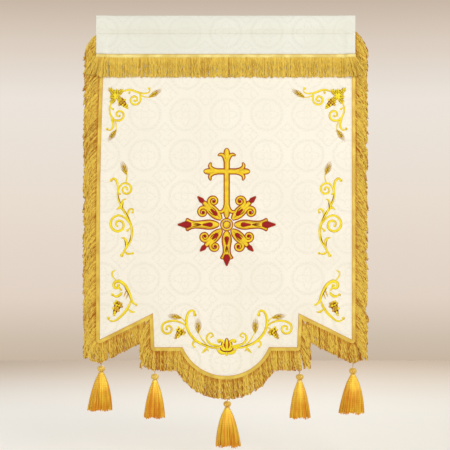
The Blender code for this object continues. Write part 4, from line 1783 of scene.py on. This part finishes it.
    def wheat(self, base: Pair, tip: Pair, width: float) -> None:
        """An ear of wheat: long awns that fan out from the foot like a plume, and grains in pairs over its lower half.

        An awn's distance from the ear's axis grows as the sine of its way along, widest at two thirds of it.

        Args:
            base: Foot of the ear in millimetres.
            tip: End of its awns.
            width: Width across the awns.
        """
        start, end = mm(base)[0], mm(tip)[0]
        ahead, length = unit(end - start), float(np.linalg.norm(end - start))
        aside = left_of(ahead)
        t = np.linspace(0, 1, 12)[:, None]
        for number, hand in enumerate(np.linspace(-1, 1, self.awns)):
            reach = length * (1.06 - 0.34 * hand**2 - 0.10 * (number % 2))
            path = start + ahead * reach * t + aside * hand * width * MM * 0.5 * np.sin(np.pi * 0.64 * t) ** 1.1
            finish = (OLD_GOLD, STRAW, BROWN)[number % 3] if abs(hand) < 0.7 else STRAW
            self.satin(evenly(path, STEP), 1.7 * MM, finish, Swell.AWN, 0.0009 + 0.0003 * (number % 2), 0.0, 0.45)
        for number in range(self.grain_pairs):
            for hand in (-1, 1):
                share = 0.02 + 0.50 * number / (self.grain_pairs - 1)
                root = start + ahead * length * share + aside * hand * 0.0009
                tilt = ahead * 0.94 + aside * hand * 0.30
                grain = evenly(np.stack([root, root + tilt * (0.16 * length + 0.002)]), STEP)
                finish = OLD_GOLD if (number + (hand > 0)) % 2 else GOLD
                self.satin(grain, 1.9 * MM, finish, Swell.OVAL, 0.0014, 0.0007, 0.42 + 0.08 * hand)

    def grapes(self, top: Pair, tip: Pair, width: float, radius: float = 3.3) -> None:
        """A bunch of grapes: rows of berries that narrow from the top to a single one.

        Args:
            top: Middle of the widest row in millimetres.
            tip: The last berry.
            width: Width of the widest row.
            radius: Of a berry.
        """
        start, end = mm(top)[0], mm(tip)[0]
        ahead, length = unit(end - start), float(np.linalg.norm(end - start)) / MM
        aside = left_of(ahead)
        rows = max(3, int(round(length / (radius * 1.55))))
        places = []
        for row in range(rows):
            count = max(1, int(round((1 - row / (rows - 1)) ** 0.8 * width / (2 * radius))) + (row % 2 == 1))
            for seat in range(count):
                shift = (seat - (count - 1) / 2) * radius * 1.85
                places.append(start + (ahead * length * row / (rows - 1) + aside * shift) * MM)
        places = np.array(places) + self.rng.normal(0, 0.0007, (len(places), 2))
        # A brown oval under the berries: painted shade that shows in the gaps between them.
        under = evenly(np.stack([start - ahead * 0.002, end]), STEP)
        self.satin(under, 0.8 * width * MM, BROWN, Swell.BUNCH, 0.0008)
        bright = self.rng.uniform(0, 1, len(places)) < 0.5
        self.beads(places[~bright], radius * 1.04 * MM, OLD_GOLD, 0.0019)
        self.beads(places[bright], radius * MM, GOLD, 0.0023)

    def vine_leaf(self, centre: Pair, lobes: tuple[Pair, ...], width: float) -> None:
        """A lobed leaf: a pointed lobe of satin for each direction, with a brown vein and teeth in brown beside it.

        Args:
            centre: Where its veins meet, in millimetres.
            lobes: The angle in degrees and the reach in millimetres of each lobe.
            width: Width of a lobe.
        """
        place = mm(centre)[0]
        for angle, reach in lobes:
            ahead = facing(angle)

            def sew(start: Pair, end: Pair, size: float, *how: object) -> None:
                """A satin stroke between two places along and across this lobe, in millimetres."""
                self.satin(evenly(beside(place, ahead, mm(start, end)), STEP), size * MM, *how)

            sew((0, 0), (reach, 0), width, GOLD, Swell.LEAF, 0.0014, 0.0002)
            sew((reach * 0.3, 0), (reach * 0.88, 0), 2.0, BROWN, Swell.HORN, 0.0012, 0.0016)
            for hand in (-1, 1):
                for share in (0.38, 0.62):
                    root, notch = (reach * share, 1.0 * hand), (reach * (share + 0.02), 2.6 * hand)
                    sew(root, (reach * (share + 0.26), 5.4 * hand), 3.2, GOLD, Swell.LEAF, 0.0016, 0.0004)
                    sew(notch, (reach * (share + 0.22), 6.2 * hand), 1.6, BROWN, Swell.LEAF, 0.0012, 0.0016)

    def build(self) -> list[bpy.types.Object]:
        """Makes a piece of every finish's shapes.

        Returns:
            The pieces.
        """
        pieces = []
        for finish, parts in self.shapes.items():
            slot = Slot.RUBY_STITCH if finish in (RUBY, BROWN, RIM) else Slot.GOLD_STITCH
            pieces.append(show(f"embroidery_{finish.name}", Surface.joined(parts), finish.build(), slot, 70.0))
        return pieces


@dataclass
class Emblem:
    """The central work: a leafy cross on a rosette of three rays and four forked scrolls, tipped with ruby.

    The hoop round the rosette's middle has a russet line inside and outside it. A lobe's marks are distances along
    the ray and widths in millimetres.
    """

    work: Needlework
    middle: float = AXIS
    cross_z: float = -0.436
    star_z: float = -0.585
    rays: tuple[Pair, ...] = ((0, 1.19), (180, 1.19), (-90, 1.0))
    forks: tuple[Pair, ...] = ((44, 1.08), (136, 1.08), (-45, 1.0), (-135, 1.0))
    arms: tuple[float, ...] = (0.064, 0.064, 0.064, 0.130)
    hoop: float = 0.0142
    hoop_rims: Pair = (0.0100, 0.0172)
    lobe: tuple[Pair, ...] = (
        (19, 6), (23, 13), (34, 22.5), (46, 24), (62, 19.5), (76, 18.5), (86, 25), (92, 33), (95, 29), (97, 9),
    )

    def cross(self) -> None:
        """Stem and arms, each ended by an oval petal between two pointed leaves."""
        centre = np.array((self.middle, self.cross_z))
        arm = np.array(((1, 0), (-1, 0), (0, 1), (0, -1)), float)
        for number, (ahead, length) in enumerate(zip(arm, self.arms)):
            bar = evenly(beside(centre, ahead, np.array(((0, 0), (length - 0.026, 0)))), STEP)
            self.work.satin(bar, 13 * MM, EMBLEM_GOLD, Swell.BAR, 0.0016, 0.0002 * (number > 1), outline=True)
            for hand in (-1, 1):
                leaf = mm((-36, 2), (-27, 4.5), (-20, 9.5), (-16.5, 16), (-19, 24)) + (length, 0)
                path = through(beside(centre, ahead, leaf * (1, hand)), STEP)
                self.work.satin(path, 10 * MM, EMBLEM_GOLD, Swell.HORN, 0.0018, 0.0002, outline=True)
            petal = through(beside(centre, ahead, mm((-30, 0), (-14, 0), (0, 0)) + (length, 0)), STEP)
            self.work.satin(petal, 14 * MM, EMBLEM_GOLD, Swell.OVAL, 0.0020, 0.0009, outline=True)
        square = evenly(np.array((centre - (0.0064, 0), centre + (0.0064, 0))), STEP)
        self.work.ribbon(square, np.full(len(square), 12.8 * MM), EMBLEM_GOLD, 0.0023)

    def out(self, turn: float, pairs: Array) -> Array:
        """Plane points given along and to the left of a ray of the star at this angle in degrees."""
        return beside(np.array((self.middle, self.star_z)), facing(turn), pairs)

    def along(self, turn: float, size: float, start: float, end: float) -> Array:
        """The straight path on a ray between two distances in millimetres, size times as far out."""
        return evenly(self.out(turn, mm((start, 0), (end, 0)) * size), STEP)

    def ray(self, turn: float, size: float) -> None:
        """One ray: a lobe that swells and flares to a cap, a ruby drop and brown strokes on it, a ruby tip.

        Args:
            turn: Its angle in degrees.
            size: How many times its plain length it has.
        """
        marks = mm(*self.lobe)
        smooth = through(marks, STEP / 2)
        order = np.argsort(smooth[:, 0])
        far = np.linspace(marks[0, 0], marks[-1, 0], 62)
        widths = np.interp(far, smooth[order, 0], smooth[order, 1])
        path = self.out(turn, np.stack([far * size, 0 * far], -1))
        self.work.ribbon(path, widths, EMBLEM_GOLD, 0.0018)
        self.work.rim(path, widths)
        self.work.satin(self.along(turn, size, 84, 114), 15.5 * MM, RUBY, Swell.SPADE, 0.0020, 0.0012, outline=True)
        self.work.satin(self.along(turn, size, 56, 34), 8.8 * MM, RUBY, Swell.DROP, 0.0016, 0.0013, outline=True)
        for lean in (-1, 0, 1):
            stroke = through(self.out(turn, mm((57, 0), (68, 2.6 * lean), (82, 5.6 * lean)) * (size, 1)), STEP)
            self.work.satin(stroke, 2.8 * MM, BROWN, Swell.LEAF, 0.0009, 0.0015)

    def fork(self, turn: float, size: float) -> None:
        """Two stems side by side that part into scrolls, with a bud between them and a ruby drop below it.

        Args:
            turn: Its angle in degrees.
            size: How many times its plain size it has.
        """
        bud = self.along(turn, size, 52, 88)
        self.work.satin(bud, 13 * MM, EMBLEM_GOLD, Swell.OVAL, 0.0016, outline=True)
        tip = self.along(turn, size, 84, 104)
        self.work.satin(tip, 10 * MM, RUBY, Swell.SPADE, 0.0018, 0.0008, outline=True)
        for hand in (-1, 1):
            stem = into_scroll(mm((21, 1), (34, 5), (50, 6.5), (62, 6.5)), (0.067, 0.0195), 0.0125, 1.2, 0.32)
            path = self.out(turn, stem * size * (1, hand))
            self.work.satin(path, 12.5 * MM, EMBLEM_GOLD, Swell.SCROLL, 0.0017, 0.0004, outline=True)
            eye = self.out(turn, mm((66.5, 19.5 * hand)) * size)
            self.work.beads(eye, 4.4 * MM, RUBY, 0.0024)
            stroke = through(self.out(turn, mm((40, 5.5 * hand), (50, 6.8 * hand), (61, 6.4 * hand)) * size), STEP)
            self.work.satin(stroke, 2.8 * MM, BROWN, Swell.LEAF, 0.0009, 0.0019)
        drop = self.along(turn, size, 57, 36)
        self.work.satin(drop, 9 * MM, RUBY, Swell.DROP, 0.0018, 0.0013, outline=True)

    def build(self) -> None:
        """Sews the whole emblem."""
        self.work.axis = None
        self.work.fuller = 1.0
        for turn, size in self.forks:
            self.fork(turn, size)
        for turn, size in self.rays:
            self.ray(turn, size)
        self.cross()
        centre = np.array((self.middle, self.star_z))
        ring = np.linspace(0, 2 * np.pi, 60)
        hoop = centre + self.hoop * circle(ring)
        self.work.ribbon(hoop, np.full(60, 4.2 * MM), EMBLEM_GOLD, 0.0018)
        self.work.beads(centre[None], 9.6 * MM, EMBLEM_GOLD, 0.0026)
        for radius in self.hoop_rims:
            line = centre + radius * circle(ring)
            self.work.ribbon(line, np.full(60, 2.6 * MM), RIM, 0.0020)


@dataclass
class Sprays:
    """Wheat, vines and grapes in the corners and down the sides, the same on both sides."""

    work: Needlework

    def corner(self) -> None:
        """The upper corner: a vine leaf, a bunch of grapes, two scrolls and two ears of wheat."""
        w = self.work
        w.vine_leaf((-313, -226), ((133, 34), (90, 22), (47, 28), (184, 20), (231, 27), (-38, 20)), 10)
        w.grapes((-302, -237), (-280, -258), 25, 3.6)
        w.tendril(4.6, 3.8, (-297, -213), (-275, -207.5), (-254, -214), (-240, -217.5), (-225, -217),
                  (-217.5, -211), (-220, -204))
        w.tendril(3, 3.3, (-272, -208), (-275, -212), (-276.5, -216))
        w.scroll(mm((-256, -214), (-246, -219)), (-260, -235), 16.5, -1.35, 4.6)
        w.stalk(2.8, (-248, -220), (-234, -227), (-216, -229))
        w.wheat((-221, -229.5), (-184, -206), 15)
        w.scroll(mm((-326, -243), (-331.5, -259), (-328, -278), (-317.5, -291.5)), (-304, -277.5), 16.5, 1.1, 4.8)
        w.tendril(3, 3.3, (-331, -256), (-326, -259), (-322, -261.5))
        w.tendril(5, 3.8, (-326, -284), (-321.5, -297), (-319.5, -307), (-323.5, -317), (-330.5, -321),
                  (-337, -317))
        w.stalk(2.8, (-317, -292), (-312, -304), (-310, -320))
        w.wheat((-310, -319), (-333, -351), 15)

    def side(self) -> None:
        """The vine down the side: one long S with two scrolls, leaves and an ear of wheat."""
        w = self.work
        w.tendril(5.6, 5.0, (-304, -471), (-303, -488), (-303, -507), (-296, -527), (-285, -547), (-274, -566),
                  (-267, -583), (-262.5, -603), (-266.5, -628), (-279, -650), (-291, -671), swell=Swell.LONG)
        w.tendril(5.4, 4.4, (-303, -484), (-304.5, -470), (-309, -460), (-316, -456), (-322, -461),
                  swell=Swell.LONG)
        w.scroll(mm((-302, -497), (-299, -482)), (-280.5, -486.5), 18.5, -1.35, 4.8)
        w.bead(-297.5, -499, 3.4)
        w.stalk(2.8, (-281, -468), (-278, -455), (-278, -442))
        w.wheat((-278.5, -446), (-294, -407), 18)
        w.leaf(5.6, (-290, -547), (-292, -530), (-287, -516), (-277, -513))
        w.leaf(5.2, (-288, -545), (-297, -537), (-307, -544))
        w.tendril(4.6, 3.4, (-276, -563), (-273.5, -549.5), (-266.5, -541), (-259.5, -544), (-261.5, -550.5))
        w.scroll(mm((-271, -580), (-282, -566.5)), (-300.5, -585), 26.0, 1.4, 5.6)
        w.tendril(3, 4.0, (-268, -594), (-272, -598), (-275.5, -601))
        w.leaf(6.4, (-280, -651), (-279, -634), (-283.5, -624), (-295, -621))
        w.tendril(4.6, 3.6, (-283, -661), (-274, -667), (-261, -665))
        for stroke in (((-303, -498), (-300, -512), (-294, -527)), ((-283, -546), (-275, -560), (-268, -578)),
                       ((-291, -543), (-289, -532), (-287, -522)), ((-281, -648), (-281, -636), (-284, -628)),
                       ((-266, -612), (-268, -628), (-276, -643))):
            w.shadow(2.2, *stroke)

    def lower(self) -> None:
        """The spray in the tail's lobe: a scrolled leaf over a bunch of grapes."""
        w = self.work
        w.stalk(3.6, (-309, -713), (-318, -719), (-316, -731), (-306, -741))
        head = mm((-254, -808), (-262, -800), (-268, -782), (-280, -757), (-296, -744))
        w.scroll(head, (-304.5, -755.5), 11.5, 0.8, 7.0, 0.35)
        w.bead(-251, -809, 3.8)
        w.leaf(5.0, (-303, -757), (-297, -764), (-290, -771))
        for shift in (0, 6):
            stroke = mm((-276 + shift, -764 - shift), (-281 + shift, -776 - shift), (-286 + shift, -788 - shift))
            w.curve(stroke, 4.0 * MM, OLD_GOLD, Swell.LEAF)
        w.tendril(6.0, 4.2, (-290, -774), (-297, -782), (-307, -786), (-318, -781))
        w.grapes((-299, -803), (-314, -838), 27, 3.9)
        w.tendril(5.6, 4.4, (-266, -796), (-271, -812), (-285, -833), (-308, -853), (-323, -854), (-329, -847))
        w.leaf(4.8, (-275, -820), (-264, -829), (-252, -829))
        w.shadow(2.2, (-268, -790), (-274, -776), (-284, -760))

    def garland(self) -> None:
        """One half of the garland along the foot: an S with a scroll, wheat, grapes and curls."""
        w = self.work
        w.axis = AXIS
        w.tendril(6.0, 5.0, (-15, -929), (-31, -930), (-47, -927), (-72, -917), (-90, -903), (-104, -884),
                  (-110, -862), (-109, -843), (-102, -829), (-91, -826), (-86.5, -837), swell=Swell.LONG)
        w.scroll(mm((-109, -872), (-121, -861), (-142, -854), (-162, -856)), (-162, -876), 18.5, 1.2, 5.0)
        w.stalk(2.8, (-110, -862), (-117, -852), (-126, -845))
        w.wheat((-123, -846), (-163, -839), 16)
        w.stalk(3.0, (-49, -924), (-64, -909), (-76, -888))
        w.wheat((-77, -890), (-78, -846), 19)
        w.tendril(5.0, 2.8, (-17, -923), (-32, -922), (-45, -917), (-53, -904), (-49.5, -893), (-41, -889),
                  (-35, -896), (-42, -900))
        w.tendril(6.0, 6.0, (-34, -928), (-18, -928), (-8, -921), (-8, -912), (-15, -908), (-19, -911),
                  swell=Swell.LONG)
        w.grapes((-124, -880), (-140, -902), 26, 3.7)
        w.tendril(4.2, 3.2, (-80, -911), (-90, -913), (-93, -921), (-88, -927))
        w.leaf(5.4, (-51, -926), (-59, -937), (-68, -945))
        w.leaf(3.6, (-53, -929), (-51, -936), (-47, -940))
        w.leaf(4.0, (-112, -872), (-119, -878), (-119, -890))
        w.shadow(1.8, (-26, -929), (-50, -924), (-72, -915))

    def rosette(self) -> None:
        """The lotus in the middle of the garland: a fan of outlined petals on a boat-shaped leaf."""
        w = self.work
        w.axis = AXIS
        shift = (AXIS, 0)
        for lean, reach in ((80, 16), (56, 22), (30, 27)):
            x, z = np.array((-np.sin(np.radians(lean)), np.cos(np.radians(lean)))) * reach
            petal = mm((-1, -938), (-1 + x * 0.62, -938 + z * 0.42), (-1 + x * 0.8, -938 + z))
            w.curve(petal + shift, 5.0 * MM, GOLD, Swell.OVAL, height=0.0016, outline=True)
        boat = mm((1, -945), (-12, -944), (-22, -939), (-29, -932))
        w.curve(boat + shift, 8.5 * MM, GOLD, Swell.LEAF, height=0.0015)
        fold = mm((1, -940), (-10, -939), (-19, -934))
        w.curve(fold + shift, 3.4 * MM, BROWN, Swell.LEAF, height=0.0008, lift=0.0013)
        w.axis = None
        bud = evenly(mm((0, -938), (0, -904)) + shift, STEP)
        w.satin(bud, 6.6 * MM, GOLD, Swell.OVAL, 0.0022, 0.0004, outline=True)
        foot = evenly(mm((0, -942), (0, -953)) + shift, STEP)
        w.satin(foot, 6 * MM, GOLD, Swell.LEAF, 0.0020, 0.0006)

    def build(self) -> None:
        """Sews every spray."""
        self.work.axis = 0.0
        self.work.fuller = 1.36
        self.corner()
        self.side()
        self.lower()
        self.garland()
        self.rosette()


# ---------------------------------------------------------------- studio


@dataclass
class Studio:
    """Pale floor, soft lights, a warm plain surround, and a camera level with the banner's middle."""

    eye: tuple[float, float, float] = (-0.0022, -4.0, -0.586)
    lens: float = 114.3
    floor_z: float = -1.25
    floor_edge: float = 3.0
    floor_half: float = 6.0
    floor_deep: float = 9.0
    aim_z: float = -0.55
    lights: tuple[tuple, ...] = (
        ("key", (1.8, -3.3, 0.9), 2.2, 60.0),
        ("fill", (-1.9, -3.0, 0.2), 2.0, 12.0),
        ("back", (0.4, 3.0, 0.8), 2.0, 36.0),
    )
    sky: tuple[tuple[float, Colour], ...] = (
        (0.02, srgb(200, 182, 162)), (0.08, srgb(206, 190, 172)), (0.19, srgb(225, 210, 196)),
        (0.45, srgb(233, 221, 208)), (0.72, srgb(236, 228, 219)), (0.87, srgb(220, 206, 192)),
        (1.0, srgb(196, 178, 160)),
    )

    def camera(self) -> None:
        """Places the camera, looking along +Y."""
        data = bpy.data.cameras.new("camera")
        data.lens = self.lens
        data.sensor_width = 36.0
        made = bpy.data.objects.new("camera", data)
        made.location = self.eye
        made.rotation_euler = (np.pi / 2, 0, 0)
        bpy.context.scene.collection.objects.link(made)
        bpy.context.scene.camera = made
        bpy.context.scene.view_settings.view_transform = "Standard"

    def light(self, name: str, place: tuple[float, float, float], size: float, power: float) -> None:
        """Hangs a square soft light that faces the banner.

        Args:
            name: Its name.
            place: Where it hangs.
            size: Its side.
            power: Its power in watts.
        """
        data = bpy.data.lights.new(name, "AREA")
        data.size = size
        data.energy = power
        made = bpy.data.objects.new(name, data)
        made.location = place
        aim = np.array((0.0, 0.0, self.aim_z)) - place
        flat = np.hypot(aim[0], aim[1])
        made.rotation_euler = (np.arctan2(flat, -aim[2]), 0, np.arctan2(-aim[0], aim[1]))
        bpy.context.scene.collection.objects.link(made)

    def surround(self) -> None:
        """A world whose colour runs with height: beige above, cream in the middle, darker towards the floor."""
        world = bpy.data.worlds.new("surround")
        world.use_nodes = True
        bpy.context.scene.world = world
        g = Graph(world.node_tree)
        _, _, height = g.split(g.add("TexCoord").outputs["Generated"])
        ramp = g.add("ValToRGB", {0: g.span(height, -0.10, 0.16, kind="LINEAR")})
        for position, _ in self.sky[1:-1]:
            ramp.color_ramp.elements.new(position)
        for stop, (position, colour) in zip(ramp.color_ramp.elements, self.sky):
            stop.position = position
            stop.color = (*colour, 1)
        seen = g.add("LightPath").outputs["Is Camera Ray"]
        background = world.node_tree.nodes["Background"]
        g.feed(background.inputs["Color"], g.mix(seen, (0.62, 0.62, 0.62), ramp.outputs[0]))
        background.inputs["Strength"].default_value = 1.0

    def floor(self) -> None:
        """A floor that ends some way behind the banner, painted lighter to the left and darker to the right and fading
        to the surround's colour at its far edge.
        """
        x, y = np.meshgrid((-self.floor_half, self.floor_half), (self.floor_edge - self.floor_deep, self.floor_edge))
        corners = np.stack([x.ravel(), y.ravel(), np.full(4, self.floor_z)], -1)[[0, 1, 3, 2]]
        mesh = bpy.data.meshes.new("floor")
        mesh.from_pydata(corners.tolist(), [], [(0, 1, 2, 3)])
        made = bpy.data.objects.new("floor", mesh)
        bpy.context.scene.collection.objects.link(made)
        g, shader, finish = Finish("floor_paint", srgb(236, 231, 224), srgb(196, 178, 158), 0.8).start()
        x, y, _ = g.split(g.place())
        # Painted light: lighter to the left and darker to the right, evening out the key light that falls from the
        # right.
        near = g.mix(g.span(x, -0.8, 0.8, kind="LINEAR"), srgb(252, 247, 238), srgb(240, 234, 222))
        g.feed(shader.inputs["Base Color"], g.mix(g.span(y, 0.9, self.floor_edge), near, srgb(202, 182, 160)))
        mesh.materials.append(finish)

    def build(self) -> None:
        """Lights the place and lays the floor."""
        for lamp in self.lights:
            self.light(*lamp)
        self.surround()
        self.floor()


def main() -> None:
    """Builds the studio and every part of the banner in order."""
    rng = np.random.default_rng(SEED)
    studio = Studio()
    studio.camera()
    finishes = {"cord": CORD.build(), "wrap": WRAP.build(), "skirt": TASSEL.build()}
    for row in TASSELS:
        Tassel(*row).build(finishes, rng)
    panel = Panel()
    cloth = panel.build()
    sleeve = RodSleeve()
    strip = sleeve.build()
    fringe = EdgeFringe().build(rng)
    work = Needlework(rng)
    Sprays(work).build()
    Emblem(work).build()
    sewn = work.build()
    drop = CUT.top - float(panel.edge()[1].min())
    panel.area()
    studio.build()


if __name__ == "__main__":
    main()
